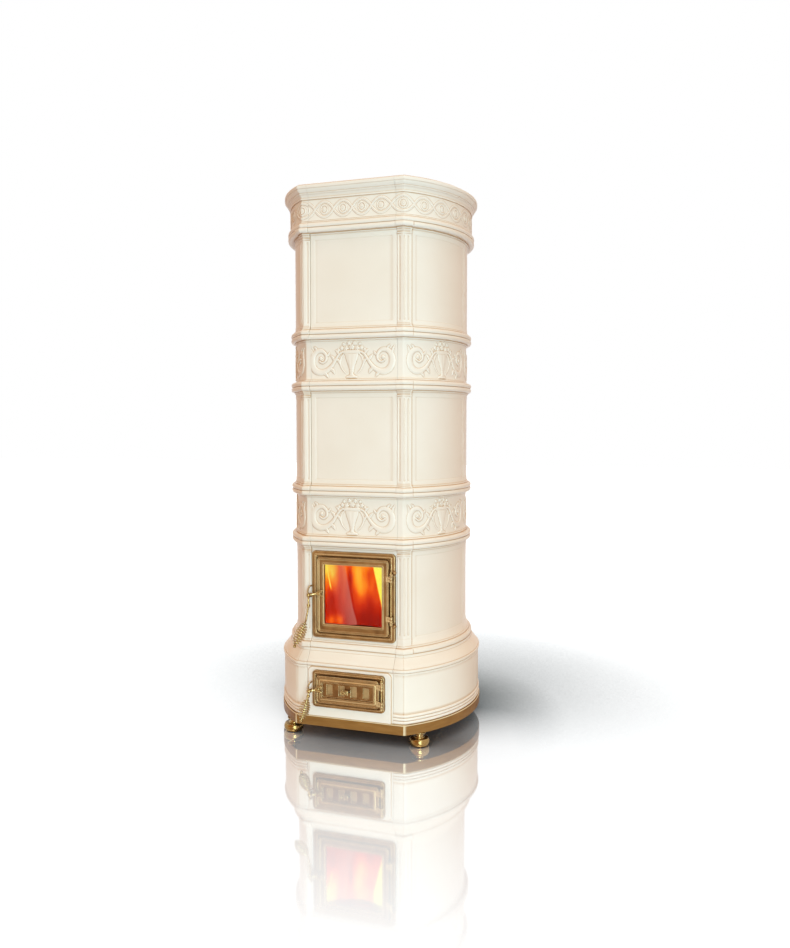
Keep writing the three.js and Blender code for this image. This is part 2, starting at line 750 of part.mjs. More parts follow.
// A hemmed sheet between the tiles' rear returns, with the flue hole and two rows of air slots.
function backPanel() {
  const half = FRONT_TILE_HALF_WIDTH - TILE_JOINT;
  const outer = BODY_DEPTH - PANEL_RECESS;
  const inner = outer - PANEL_THICKNESS;
  const top = lidBottom - CLEAR;
  const hemSide = half - PANEL_THICKNESS;
  const sheet = block([-half, inner, baseBottom], [half, outer, top]);
  const hems = [[-half, -hemSide], [hemSide, half]].map(([low, high]) => (
    block([low, outer - PANEL_HEM, baseBottom], [high, inner + 1, top])
  ));
  const hole = bar([0, inner - 1, FLUE_HEIGHT], [0, outer + 1, FLUE_HEIGHT], FLUE_RADIUS + 1, undefined, 24);
  const pitch = 2 * hemSide / (LOUVRES + 1);
  const rows = [fireboxBottom, corniceBottom - LOUVRE_HEIGHT];
  const slots = rows.flatMap((z) => Array.from({ length: LOUVRES }, (_, i) => {
    const x = (i - (LOUVRES - 1) / 2) * pitch;
    return block(
      [x - LOUVRE_WIDTH / 2, inner - 1, z],
      [x + LOUVRE_WIDTH / 2, outer + 1, z + LOUVRE_HEIGHT],
    );
  }));
  return cut(join(sheet, ...hems), hole, ...slots);
}

add(body, "back_panel", backPanel(), enamel);

// ---------------------------------------------------------------- firebox

const shellBottom = baseBottom + CLEAR;
const shellTop = middleBottom - SHELL_HEADROOM;
const shellBack = SHELL_FRONT + SHELL_DEPTH;
const insideX = SHELL_HALF_WIDTH - SHELL_WALL;
const insideFront = SHELL_FRONT + SHELL_WALL;
const insideBack = shellBack - SHELL_WALL;
const ashFloor = ashDoorZ - ashThroatZ;
const hearthTop = fireDoorZ - fireThroatZ - HEARTH_DROP;
const hearthBottom = hearthTop - FIRECLAY;
const liningTop = hearthTop + LINING_HEIGHT;
const storeMiddle = BODY_DEPTH / 2;

// A welded steel box: a skirt, the ash chamber, a ledge for the hearth and the fire chamber, with
// holes for both doors and for the smoke.
function fireboxShell() {
  const room = (low, high, inset) => block(
    [inset - insideX, insideFront + inset, low],
    [insideX - inset, insideBack - inset, high],
  );
  const ledgeTop = hearthBottom - CLEAR;
  const doorHole = (halfX, halfZ, z) => block(
    [-halfX, SHELL_FRONT - 1, z - halfZ],
    [halfX, insideFront + 1, z + halfZ],
  );
  return cut(
    block([-SHELL_HALF_WIDTH, SHELL_FRONT, shellBottom], [SHELL_HALF_WIDTH, shellBack, shellTop]),
    room(shellBottom - 1, ashFloor - SHELL_WALL, 0),
    room(ashFloor, ledgeTop - LEDGE_HEIGHT, 0),
    room(ledgeTop - LEDGE_HEIGHT - 1, ledgeTop + 1, LEDGE_WIDTH),
    room(ledgeTop, shellTop - SHELL_WALL, 0),
    doorHole(fireThroatX, fireThroatZ, fireDoorZ),
    doorHole(ashThroatX, ashThroatZ, ashDoorZ),
    block(
      [-DUCT_WIDTH / 2, storeMiddle - DUCT_DEPTH / 2, shellTop - SHELL_WALL - 1],
      [DUCT_WIDTH / 2, storeMiddle + DUCT_DEPTH / 2, shellTop + 1],
    ),
  );
}

// The hearth slab with a stepped hole that the grate drops into.
const grateMiddle = (insideFront + insideBack - FIRECLAY) / 2;

function grateBlock(width, length, low, high) {
  return block(
    [-width / 2, grateMiddle - length / 2, low],
    [width / 2, grateMiddle + length / 2, high],
  );
}

function hearth() {
  const side = insideX - CLEAR;
  return cut(
    block([-side, insideFront + CLEAR, hearthBottom], [side, insideBack - CLEAR, hearthTop]),
    grateBlock(GRATE_WIDTH, GRATE_LENGTH, hearthTop - GRATE_THICKNESS, hearthTop + 1),
    grateBlock(
      GRATE_WIDTH - 2 * GRATE_LEDGE,
      GRATE_LENGTH - 2 * GRATE_LEDGE,
      hearthBottom - 1,
      hearthTop,
    ),
  );
}

function grate() {
  const top = hearthTop - 2 * CLEAR;
  const width = GRATE_WIDTH - 2 * RUN_CLEAR;
  const length = GRATE_LENGTH - 2 * RUN_CLEAR;
  const slotLength = GRATE_LENGTH - 4 * GRATE_LEDGE;
  const pitch = (GRATE_WIDTH - 2 * GRATE_LEDGE) / GRATE_SLOTS;
  const slots = Array.from({ length: GRATE_SLOTS }, (_, i) => {
    const x = (i - (GRATE_SLOTS - 1) / 2) * pitch;
    return grateBlock(GRATE_SLOT_WIDTH, slotLength, hearthBottom, top + 1).translate(x, 0, 0);
  });
  return cut(grateBlock(width, length, hearthTop - GRATE_THICKNESS + CLEAR, top), ...slots);
}

function sideLining() {
  return block(
    [insideX - FIRECLAY, insideFront + CLEAR, hearthTop + CLEAR],
    [insideX - CLEAR, insideBack - FIRECLAY - CLEAR, liningTop],
  );
}

function rearLining() {
  return block(
    [CLEAR - insideX, insideBack - FIRECLAY, hearthTop + CLEAR],
    [insideX - CLEAR, insideBack - CLEAR, liningTop],
  );
}

// Lies on the lining and leaves the smoke a gap along the front wall.
function baffle() {
  const low = liningTop + CLEAR;
  return block(
    [CLEAR - insideX, insideFront + BAFFLE_GAP, low],
    [insideX - CLEAR, insideBack - CLEAR, low + BAFFLE_THICKNESS],
  );
}

// A folded tray with a bent grip on its front wall.
function ashPan() {
  const half = ashThroatX - PAN_SIDE_ROOM;
  const front = insideFront + PAN_SIDE_ROOM;
  const back = front + PAN_LENGTH;
  const low = ashFloor + CLEAR;
  const high = low + PAN_HEIGHT;
  const grip = block([-half / 3, front - PAN_SIDE_ROOM, high - 2 * PAN_WALL], [half / 3, front + 1, high]);
  const tray = cut(
    block([-half, front, low], [half, back, high]),
    block([PAN_WALL - half, front + PAN_WALL, low + PAN_WALL], [half - PAN_WALL, back - PAN_WALL, high + 1]),
  );
  return join(tray, grip);
}

add(body, "firebox_shell", fireboxShell(), steel);
add(body, "hearth_slab", hearth(), fireclay);
add(body, "grate", grate(), castIron);
add(body, "lining_right", sideLining(), fireclay);
add(body, "lining_left", mirrored(sideLining()), fireclay);
add(body, "lining_rear", rearLining(), fireclay);
add(body, "baffle_plate", baffle(), fireclay);
add(body, "ash_pan", ashPan(), steel);

// ---------------------------------------------------------------- heat store and flue

const collectorBottom = FLUE_HEIGHT - FLUE_RADIUS - COLLECTOR_MARGIN;
const collectorTop = FLUE_HEIGHT + FLUE_RADIUS + COLLECTOR_MARGIN;

function storeBlock(width, depth, low, high) {
  return block(
    [-width / 2, storeMiddle - depth / 2, low],
    [width / 2, storeMiddle + depth / 2, high],
  );
}

function storeRing(low, high) {
  return cut(
    storeBlock(STORE_SIZE, STORE_SIZE, low, high),
    storeBlock(DUCT_WIDTH, DUCT_DEPTH, low - 1, high + 1),
  );
}

// The closed top block, which turns the smoke into the flue.
function smokeCollector() {
  const port = bar(
    [0, storeMiddle, FLUE_HEIGHT],
    [0, storeMiddle + STORE_SIZE, FLUE_HEIGHT],
    FLUE_RADIUS + RUN_CLEAR,
    undefined,
    24,
  );
  return cut(
    storeBlock(STORE_SIZE, STORE_SIZE, collectorBottom, collectorTop),
    storeBlock(DUCT_WIDTH, DUCT_DEPTH, collectorBottom - 1, collectorTop - COLLECTOR_MARGIN),
    port,
  );
}

function flueCollar() {
  const inner = storeMiddle + STORE_SIZE / 2 - COLLAR_BITE;
  const outer = BODY_DEPTH + FLUE_PROUD;
  const tube = (radius, extra) => bar(
    [0, inner - extra, FLUE_HEIGHT],
    [0, outer + extra, FLUE_HEIGHT],
    radius,
    undefined,
    24,
  );
  return cut(tube(FLUE_RADIUS, 0), tube(FLUE_RADIUS - FLUE_WALL, 1));
}

const storeRise = (collectorBottom - shellTop) / 2;
add(body, "heat_store_lower", storeRing(shellTop + CLEAR, shellTop + storeRise - CLEAR), fireclay);
add(body, "heat_store_upper", storeRing(shellTop + storeRise, collectorBottom - CLEAR), fireclay);
add(body, "smoke_collector", smokeCollector(), fireclay);
add(body, "flue_collar", flueCollar(), steel);

// ---------------------------------------------------------------- door parts

// A rounded rectangle that faces the front, as a ring of points at one depth.
function frameRing(halfX, halfZ, radius, y, lift = 0) {
  const corners = [[1, 1], [-1, 1], [-1, -1], [1, -1]];
  const steps = [0, 1, 2, 3];
  return corners.flatMap(([sx, sz], corner) => steps.map((step) => {
    const angle = (corner + step / 3) * Math.PI / 2;
    return [
      sx * (halfX - radius) + radius * Math.cos(angle),
      y,
      sz * (halfZ - radius) + radius * Math.sin(angle) + lift,
    ];
  }));
}

// A frame or plate from inset and depth pairs, taken in from one outer rectangle.
function insetRings(halfX, halfZ, pairs) {
  return pairs.map(([inset, y]) => (
    frameRing(halfX - inset, halfZ - inset, Math.max(FRAME_RADIUS - inset, 3), y)
  ));
}

const rebateFloor = -(FRAME_PROUD - REBATE_DEPTH);
const leafBack = rebateFloor - RUN_CLEAR;
const leafFront = leafBack - LEAF_THICKNESS;
const beadFront = leafFront - LEAF_BEAD;
const hingeY = -(FRAME_PROUD + HINGE_STANDOFF);
const latchSeat = beadFront - 1;
// How deep the latch pivots go into the leaves: they stop short of the seal's groove.
const pivotDepth = leafBack - SEAL_DEPTH - 1;

// The hinge axis of a door whose frame and border are given.
function hingeX(frameWidth, border) {
  return frameWidth / 2 - border - LEAF_GAP + HINGE_OUT;
}

// A frame's flange, border, rebate and throat.
function castFrame(width, height, border, throatInset, throatDepth) {
  return skin(insetRings(width / 2, height / 2, [
    [0, -CLEAR],
    [0, FRAME_EDGE - FRAME_PROUD],
    [FRAME_EDGE, -FRAME_PROUD],
    [border - 2, -FRAME_PROUD],
    [border, rebateFloor],
    [throatInset, rebateFloor],
    [throatInset, throatDepth],
    [throatInset - THROAT_WALL, throatDepth],
    [throatInset - THROAT_WALL, -CLEAR],
  ]));
}

// A lug on the frame beside each leaf knuckle: above the upper one and below the lower one.
function hingeLugs(frameWidth, border, rise) {
  const x = hingeX(frameWidth, border);
  const low = rise + KNUCKLE_HEIGHT / 2 + RUN_CLEAR;
  const high = low + LUG_HEIGHT;
  return [[low, high], [-high, -low]].flatMap(([z0, z1]) => [
    bar([x, hingeY, z0], [x, hingeY, z1], KNUCKLE_RADIUS),
    block([x - 2, hingeY, z0], [frameWidth / 2, -FRAME_PROUD + 1, z1]),
  ]);
}

// The balls that finish the fire door's lugs where they grow out of the frame.
function lugBalls(frameWidth, border, rise) {
  const x = hingeX(frameWidth, border) + LUG_BALL + PIN_RADIUS;
  const z = rise + KNUCKLE_HEIGHT / 2 + RUN_CLEAR + LUG_HEIGHT + LUG_BALL / 2;
  return [-z, z].map((height) => ball([x, hingeY + LUG_BALL, height], LUG_BALL));
}

function pinHole(x, height) {
  return bar([x, hingeY, -height], [x, hingeY, height], PIN_RADIUS + CLEAR);
}

// The leaf's two knuckles and the straps that carry them.
function knuckles(x, rise) {
  return [-rise, rise].flatMap((z) => {
    const [low, high] = [z - KNUCKLE_HEIGHT / 2, z + KNUCKLE_HEIGHT / 2];
    return [
      bar([x, hingeY, low], [x, hingeY, high], KNUCKLE_RADIUS),
      block([x - 2 * HINGE_OUT, hingeY - KNUCKLE_RADIUS / 2, low], [x, leafFront + 1, high]),
    ];
  });
}

// A headed pin through both lugs and both knuckles.
function hingePin(rise) {
  const low = -(rise + KNUCKLE_HEIGHT / 2 + RUN_CLEAR + LUG_HEIGHT);
  const head = 1.7 * PIN_RADIUS;
  return turned([
    [0, low],
    [PIN_RADIUS, low],
    [PIN_RADIUS, CLEAR - low],
    [head, CLEAR - low],
    [head, head - low],
    [0.5 * head, 1.6 * head - low],
    [0, 1.6 * head - low],
  ], 10);
}

// ---------------------------------------------------------------- latch

// A part of a ring around a pivot, pulled back along y; angles in radians from +x.
function ringPart([x, z], inner, outer, start, end, front, back) {
  const steps = [0, 1, 2, 3, 4];
  const arc = (radius, turn) => steps.map((step) => {
    const angle = start + (end - start) * (turn ? 4 - step : step) / 4;
    return [x + radius * Math.cos(angle), z + radius * Math.sin(angle)];
  });
  return prismBack([...arc(inner, false), ...arc(outer, true)], front, back);
}

// The crescent on the frame's border: the latch's tongue swings inside it and rests on its foot.
function keeper(pivot, handle) {
  const [[x, , z]] = handle;
  const reach = Math.hypot(x - pivot[0], z - pivot[1]);
  const rest = Math.PI + Math.atan2(pivot[1] - z, pivot[0] - x);
  const inner = reach + TONGUE_RADIUS + KEEPER_GAP;
  const outer = inner + KEEPER_THICKNESS;
  const front = -FRAME_PROUD - KEEPER_FRONT;
  const seat = -FRAME_PROUD + 1;
  const foot = rest + Math.asin(TONGUE_RADIUS / reach) + CLEAR / reach;
  const head = rest - 0.85;
  return [
    ringPart(pivot, inner, outer, head, foot + 0.02, front, seat - 4),
    ringPart(pivot, inner, outer, head, head + 0.2, front, seat),
    ringPart(pivot, reach - TONGUE_RADIUS, outer, foot, foot + 0.22, front, seat),
  ];
}

// The boss on the leaf that the latch turns on.
function latchPad([x, z]) {
  return bar([x, leafBack - 3, z], [x, latchSeat, z], LATCH_BOSS_RADIUS);
}

function latchHole([x, z], back) {
  return bar([x, latchSeat - 2 * LATCH_BOSS_HEIGHT, z], [x, back, z], LATCH_PIN_RADIUS + CLEAR);
}

// The bar with its forked tail, the ball, the neck, the collar and the bent rod. The tongue behind the
// ball ends in front of the leaf's beads, which it passes as it swings.
function latch(pivot, handle) {
  const [top, neck, start, end] = handle;
  const seat = latchSeat - CLEAR;
  const mid = seat - LATCH_BOSS_HEIGHT / 2;
  const centre = [pivot[0], mid, pivot[1]];
  const prong = (rise) => bar(
    centre,
    [pivot[0] + 1.5 * LATCH_BOSS_RADIUS, mid, pivot[1] + rise * LATCH_BOSS_RADIUS],
    0.45 * LATCH_BOSS_RADIUS,
    0.2 * LATCH_BOSS_RADIUS,
    6,
  );
  const path = new THREE.CatmullRomCurve3([neck, start, end].map((p) => new THREE.Vector3(...p)));
  const section = new THREE.Shape().absarc(0, 0, ROD_RADIUS, 0, 2 * Math.PI, false);
  const rod = new THREE.ExtrudeGeometry(section, { steps: 10, curveSegments: 8, extrudePath: path });
  const solid = join(
    bar([pivot[0], seat, pivot[1]], [pivot[0], seat - LATCH_BOSS_HEIGHT, pivot[1]], LATCH_BOSS_RADIUS),
    prong(1.2),
    prong(-1.2),
    bar(centre, top, LATCH_ARM),
    ball(top, LATCH_BALL),
    bar(top, [top[0], latchSeat, top[2]], TONGUE_RADIUS),
    bar(top, neck, 0.7 * LATCH_BALL, ROD_RADIUS),
    ball(neck, 0.8 * LATCH_BALL),
    ball(end, 0.7 * LATCH_BALL),
    rod,
  );
  const face = seat - LATCH_BOSS_HEIGHT;
  const headRoom = bar(
    [pivot[0], face - LATCH_BOSS_HEIGHT, pivot[1]],
    [pivot[0], face, pivot[1]],
    2 * LATCH_PIN_RADIUS + RUN_CLEAR,
  );
  return cut(solid, latchHole(pivot, seat + 1), headRoom);
}

function latchPivotPin([x, z]) {
  const back = pivotDepth - CLEAR;
  const front = latchSeat - LATCH_BOSS_HEIGHT - 2 * CLEAR;
  return join(
    bar([x, front - 1, z], [x, back, z], LATCH_PIN_RADIUS),
    bar([x, front - LATCH_PIN_RADIUS, z], [x, front, z], 2 * LATCH_PIN_RADIUS),
  );
}

// An open coil round the rod's end, narrow at both ends and full in the middle: one unbroken wire.
function coilGrip(name, handle) {
  const [, , start, end] = handle.map((p) => new THREE.Vector3(...p));
  const knob = 0.7 * LATCH_BALL;
  const axis = end.clone().sub(start);
  const length = axis.length() - knob - WIRE_RADIUS;
  axis.normalize();
  const side = new THREE.Vector3(1, 0, 0).cross(axis).normalize();
  const across = axis.clone().cross(side);
  const narrow = ROD_RADIUS + WIRE_RADIUS + CLEAR;
  const count = COIL_TURNS * COIL_STEPS;
  const pointAt = (share) => {
    const angle = 2 * Math.PI * COIL_TURNS * share;
    const swell = Math.max(Math.sin(Math.PI * share), 0) ** 0.7;
    const radius = narrow + (COIL_RADIUS - WIRE_RADIUS - narrow) * swell;
    return start.clone()
      .addScaledVector(axis, length * share)
      .addScaledVector(side, radius * Math.cos(angle))
      .addScaledVector(across, radius * Math.sin(angle));
  };
  const points = Array.from({ length: count + 1 }, (_, i) => pointAt(i / count));
  const rings = points.map((point, i) => {
    const before = points[Math.max(i - 1, 0)];
    const after = points[Math.min(i + 1, count)];
    const along = after.clone().sub(before).normalize();
    const out = axis.clone().cross(along).normalize();
    const up = along.clone().cross(out);
    return Array.from({ length: COIL_SIDES }, (_, j) => {
      const angle = 2 * Math.PI * j / COIL_SIDES;
      return point.clone()
        .addScaledVector(out, WIRE_RADIUS * Math.cos(angle))
        .addScaledVector(up, WIRE_RADIUS * Math.sin(angle))
        .toArray();
    });
  });
  const section = Array.from({ length: COIL_SIDES }, (_, j) => {
    const angle = 2 * Math.PI * j / COIL_SIDES;
    return [Math.cos(angle), Math.sin(angle)];
  });
  console.log(`${name}: least gap to itself ${leastGap(pointAt, count).toFixed(2)} mm`);
  return skin(rings, section);
}

// The least gap between two turns of a wire, measured on points along its middle.
function leastGap(pointAt, count) {
  const points = Array.from({ length: 2 * count + 1 }, (_, i) => pointAt(i / (2 * count)));
  let least = Infinity;
  points.forEach((a, i) => {
    points.slice(i + COIL_STEPS).forEach((b) => {
      least = Math.min(least, a.distanceTo(b));
    });
  });
  return least - 2 * WIRE_RADIUS;
}

// ---------------------------------------------------------------- fire door

const fireDoor = new THREE.Group();
fireDoor.position.set(0, 0, fireDoorZ);
body.add(fireDoor);

const fireLeafX = FIRE_FRAME_WIDTH / 2 - FIRE_BORDER - LEAF_GAP;
const fireLeafZ = FIRE_FRAME_HEIGHT / 2 - FIRE_BORDER - LEAF_GAP;
const firePivot = [-(fireLeafX - LATCH_PIVOT_INSET), FIRE_PIVOT_RISE];
const glassBack = leafBack - RUN_CLEAR;
const glassSeat = glassBack - GLASS_THICKNESS - CLEAR;

function fireFrame() {
  const depth = SHELL_FRONT - CLEAR;
  const casting = castFrame(FIRE_FRAME_WIDTH, FIRE_FRAME_HEIGHT, FIRE_BORDER, FIRE_THROAT_INSET, depth);
  const whole = join(
    casting,
    ...hingeLugs(FIRE_FRAME_WIDTH, FIRE_BORDER, FIRE_KNUCKLE_RISE),
    ...lugBalls(FIRE_FRAME_WIDTH, FIRE_BORDER, FIRE_KNUCKLE_RISE),
    ...keeper(firePivot, FIRE_HANDLE),
  );
  return cut(whole, pinHole(hingeX(FIRE_FRAME_WIDTH, FIRE_BORDER), FIRE_FRAME_HEIGHT / 2));
}

// The leaf: a bead round its edge, a hollow band, a lip round the window, and behind it the
// rebate for the glass and the groove for the rope seal.
function fireLeaf() {
  const windowX = WINDOW_WIDTH / 2;
  const windowZ = WINDOW_HEIGHT / 2;
  const outer = insetRings(fireLeafX, fireLeafZ, [
    [0, leafBack],
    [0, leafFront],
    [0.25 * LEAF_BEAD, leafFront - 0.7 * LEAF_BEAD],
    [LEAF_BEAD, beadFront],
    [1.8 * LEAF_BEAD, beadFront],
    [2.5 * LEAF_BEAD, leafFront],
    [2.7 * LEAF_BEAD, leafFront + 0.5 * LEAF_BEAD],
  ]);
  const window = [
    [2 * LEAF_BEAD, leafFront + LEAF_BEAD],
    [LEAF_BEAD, leafFront + 0.5 * LEAF_BEAD],
    [0.7 * LEAF_BEAD, leafFront],
    [0, leafFront],
    [0, glassSeat],
    [GLASS_LAP, glassSeat],
    [GLASS_LAP, leafBack],
  ].map(([grow, y]) => frameRing(windowX + grow, windowZ + grow, 4, y, WINDOW_LIFT));
  const groove = sealLoop(0, leafBack + 1, leafBack - SEAL_DEPTH);
  const x = hingeX(FIRE_FRAME_WIDTH, FIRE_BORDER);
  const whole = join(skin([...outer, ...window]), ...knuckles(x, FIRE_KNUCKLE_RISE), latchPad(firePivot));
  return cut(whole, groove, pinHole(x, fireLeafZ), latchHole(firePivot, pivotDepth));
}

// A square loop of the rope seal's width over the rebate floor, just outside the throat. The shrink
// takes it in from all sides of its groove.
function sealLoop(shrink, back, front) {
  const outer = 1.4 * SEAL_WIDTH - shrink;
  const inner = 0.4 * SEAL_WIDTH + shrink;
  return skin([[outer, back], [outer, front], [inner, front], [inner, back]].map(([grow, y]) => (
    frameRing(fireThroatX + grow, fireThroatZ + grow, FRAME_RADIUS / 2, y)
  )));
}

function windowPlate(grow, front, back) {
  const halfX = WINDOW_WIDTH / 2 + grow;
  const halfZ = WINDOW_HEIGHT / 2 + grow;
  const section = frameRing(halfX, halfZ, 4, 0).map(([x, , z]) => [x, z]);
  return skin([
    frameRing(halfX, halfZ, 4, front, WINDOW_LIFT),
    frameRing(halfX, halfZ, 4, back, WINDOW_LIFT),
  ], section);
}

// A thin frame that is screwed over the glass from behind.
function glassRetainer() {
  const outer = GLASS_LAP + 2;
  const [front, back] = [leafBack + CLEAR, leafBack + CLEAR + RETAINER_THICKNESS];
  return skin([[outer, front], [outer, back], [0, back], [0, front]].map(([grow, y]) => (
    frameRing(WINDOW_WIDTH / 2 + grow, WINDOW_HEIGHT / 2 + grow, 4, y, WINDOW_LIFT)
  )));
}

add(fireDoor, "fire_door_frame", fireFrame(), antiqueBrass);
add(fireDoor, "fire_door_leaf", fireLeaf(), antiqueBrass);
add(fireDoor, "fire_door_seal", sealLoop(CLEAR, leafBack, leafBack - SEAL_DEPTH + CLEAR), sealRope);
add(fireDoor, "fire_door_glass", windowPlate(GLASS_LAP - RUN_CLEAR, glassSeat + CLEAR, glassBack), glass);
add(fireDoor, "fire_glass_retainer", glassRetainer(), steel);
add(
  fireDoor,
  "fire_hinge_pin",
  hingePin(FIRE_KNUCKLE_RISE),
  polishedBrass,
  [hingeX(FIRE_FRAME_WIDTH, FIRE_BORDER), hingeY, 0],
);
add(fireDoor, "fire_latch", latch(firePivot, FIRE_HANDLE), polishedBrass);
add(fireDoor, "fire_latch_pivot", latchPivotPin(firePivot), polishedBrass);
add(fireDoor, "fire_latch_grip", coilGrip("fire_latch_grip", FIRE_HANDLE), polishedBrass);

// ---------------------------------------------------------------- ash door

const ashDoor = new THREE.Group();
ashDoor.position.set(0, ashFaceY, ashDoorZ);
body.add(ashDoor);

const ashLeafX = ASH_FRAME_WIDTH / 2 - ASH_BORDER - LEAF_GAP;
const ashLeafZ = ASH_FRAME_HEIGHT / 2 - ASH_BORDER - LEAF_GAP;
const ashPivot = [-(ashLeafX - LATCH_PIVOT_INSET), ASH_PIVOT_RISE];
const fieldFront = leafFront + ASH_FIELD;
const fieldBack = fieldFront + ASH_FIELD;
const slideHalf = VENT_HEIGHT / 2 + SLIDE_LAP;
const slideRight = VENT_PITCH * (VENT_COUNT - 1) / 2 + VENT_WIDTH / 2 + 3;
const slideLeft = -(slideRight + VENT_TRAVEL + 3);
const shankX = -VENT_TRAVEL / 2;

function ashFrame() {
  const depth = SHELL_FRONT - CLEAR - ashFaceY;
  const casting = castFrame(ASH_FRAME_WIDTH, ASH_FRAME_HEIGHT, ASH_BORDER, ASH_THROAT_INSET, depth);
  const whole = join(
    casting,
    ...hingeLugs(ASH_FRAME_WIDTH, ASH_BORDER, ASH_KNUCKLE_RISE),
    ...keeper(ashPivot, ASH_HANDLE),
  );
  return cut(whole, pinHole(hingeX(ASH_FRAME_WIDTH, ASH_BORDER), ASH_FRAME_HEIGHT));
}

// One upright window for each vent, shifted and sized as the plate that is cut needs it.
function ventWindows(width, shift, front, back) {
  return Array.from({ length: VENT_COUNT }, (_, i) => {
    const left = (i - (VENT_COUNT - 1) / 2) * VENT_PITCH - VENT_WIDTH / 2 + shift;
    return block([left, front, -VENT_HEIGHT / 2], [left + width, back, VENT_HEIGHT / 2]);
  });
}

// The leaf: an outer and an inner bead round a sunk field with four windows, and behind the field
// the undercut channel that the vent slide runs in.
function ashLeaf() {
  const rings = insetRings(ashLeafX, ashLeafZ, [
    [0, leafBack],
    [0, leafFront],
    [LEAF_BEAD, beadFront],
    [2 * LEAF_BEAD, beadFront],
    [2.5 * LEAF_BEAD, leafFront],
    [ASH_BEAD_INSET - LEAF_BEAD, leafFront],
    [ASH_BEAD_INSET - 0.5 * LEAF_BEAD, beadFront],
    [ASH_BEAD_INSET + 0.5 * LEAF_BEAD, beadFront],
    [ASH_BEAD_INSET + LEAF_BEAD, fieldFront],
  ]);
  const section = rings[0].map(([x, , z]) => [x, z]);
  const x = hingeX(ASH_FRAME_WIDTH, ASH_BORDER);
  const [left, right] = [slideLeft - RUN_CLEAR, slideRight + VENT_TRAVEL + RUN_CLEAR];
  const slotHalf = VENT_TRAVEL / 2 + KNOB_SHANK_RADIUS + RUN_CLEAR;
  const slotRise = KNOB_SHANK_RADIUS + RUN_CLEAR;
  const channelBack = fieldBack + SLIDE_THICKNESS + 2 * CLEAR;
  const open = slideHalf - SLIDE_LAP / 2;
  const whole = join(skin(rings, section), ...knuckles(x, ASH_KNUCKLE_RISE), latchPad(ashPivot));
  return cut(
    whole,
    ...ventWindows(VENT_WIDTH, 0, fieldFront - 1, fieldBack + 1),
    block([-slotHalf, fieldFront - 1, -slotRise], [slotHalf, fieldBack + 1, slotRise]),
    block([left, fieldBack, -slideHalf - RUN_CLEAR], [right, channelBack, slideHalf + RUN_CLEAR]),
    block([left, fieldBack, -open], [right, leafBack + 1, open]),
    pinHole(x, ASH_FRAME_HEIGHT / 2),
    latchHole(ashPivot, pivotDepth),
  );
}

// The slide's windows are as wide as it travels, less a lap, so they hide behind the leaf's bars.
function ventSlide() {
  const [front, back] = [fieldBack + CLEAR, fieldBack + CLEAR + SLIDE_THICKNESS];
  return cut(
    block([slideLeft, front, -slideHalf], [slideRight, back, slideHalf]),
    ...ventWindows(VENT_TRAVEL - 1, -VENT_TRAVEL, front - 1, back + 1),
  );
}

// A knob with two lobes side by side, on a shank through the leaf's slot.
function ventKnob() {
  const lobeY = beadFront - KNOB_LOBE;
  return join(
    bar([shankX, fieldBack, 0], [shankX, lobeY, 0], KNOB_SHANK_RADIUS),
    bar([shankX, fieldFront - RUN_CLEAR - 2, 0], [shankX, fieldFront - RUN_CLEAR, 0], KNOB_LOBE),
    ball([shankX - 0.8 * KNOB_LOBE, lobeY, 0], KNOB_LOBE),
    ball([shankX + 0.8 * KNOB_LOBE, lobeY, 0], KNOB_LOBE),
  );
}

add(ashDoor, "ash_door_frame", ashFrame(), antiqueBrass);
add(ashDoor, "ash_door_leaf", ashLeaf(), antiqueBrass);
add(ashDoor, "vent_slide", ventSlide(), antiqueBrass);
add(ashDoor, "vent_knob", ventKnob(), polishedBrass);
add(
  ashDoor,
  "ash_hinge_pin",
  hingePin(ASH_KNUCKLE_RISE),
  polishedBrass,
  [hingeX(ASH_FRAME_WIDTH, ASH_BORDER), hingeY, 0],
);
add(ashDoor, "ash_latch", latch(ashPivot, ASH_HANDLE), polishedBrass);
add(ashDoor, "ash_latch_pivot", latchPivotPin(ashPivot), polishedBrass);
add(ashDoor, "ash_latch_grip", coilGrip("ash_latch_grip", ASH_HANDLE), polishedBrass);

// The floor under the middle of the whole object is the origin.
const box = new THREE.Box3().setFromObject(stove, true);
const middle = box.getCenter(new THREE.Vector3());
body.position.set(-middle.x, -middle.y, -box.min.z);

export default stove;
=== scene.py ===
"""The looks of a tall tiled stove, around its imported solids. Shapes are worked out in millimetres,
with y = 0 on the plain tile face, and become metres in the row frame as they are made."""
import functools
import json
import math

import bmesh
import bpy
import numpy as np
from mathutils import Matrix, Vector


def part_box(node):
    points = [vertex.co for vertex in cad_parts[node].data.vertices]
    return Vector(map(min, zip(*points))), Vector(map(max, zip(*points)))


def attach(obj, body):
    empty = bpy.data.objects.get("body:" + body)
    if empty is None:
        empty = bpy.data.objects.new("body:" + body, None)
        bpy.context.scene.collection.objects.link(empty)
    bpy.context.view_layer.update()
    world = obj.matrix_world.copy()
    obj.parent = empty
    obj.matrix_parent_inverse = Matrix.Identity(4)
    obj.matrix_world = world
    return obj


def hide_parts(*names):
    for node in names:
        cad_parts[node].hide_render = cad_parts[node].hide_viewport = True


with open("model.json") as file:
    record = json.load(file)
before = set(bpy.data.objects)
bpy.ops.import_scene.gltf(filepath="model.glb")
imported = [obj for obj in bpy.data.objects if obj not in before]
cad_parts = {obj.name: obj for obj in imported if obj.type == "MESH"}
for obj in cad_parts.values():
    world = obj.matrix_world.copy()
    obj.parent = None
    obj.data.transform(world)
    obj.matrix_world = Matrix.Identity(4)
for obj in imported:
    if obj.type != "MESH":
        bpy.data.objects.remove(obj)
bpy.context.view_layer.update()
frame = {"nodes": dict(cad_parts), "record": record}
nodes = frame["nodes"]

MM = 0.001
BELT_REACH = 16.0
TOP_BELT_REACH = 25.0
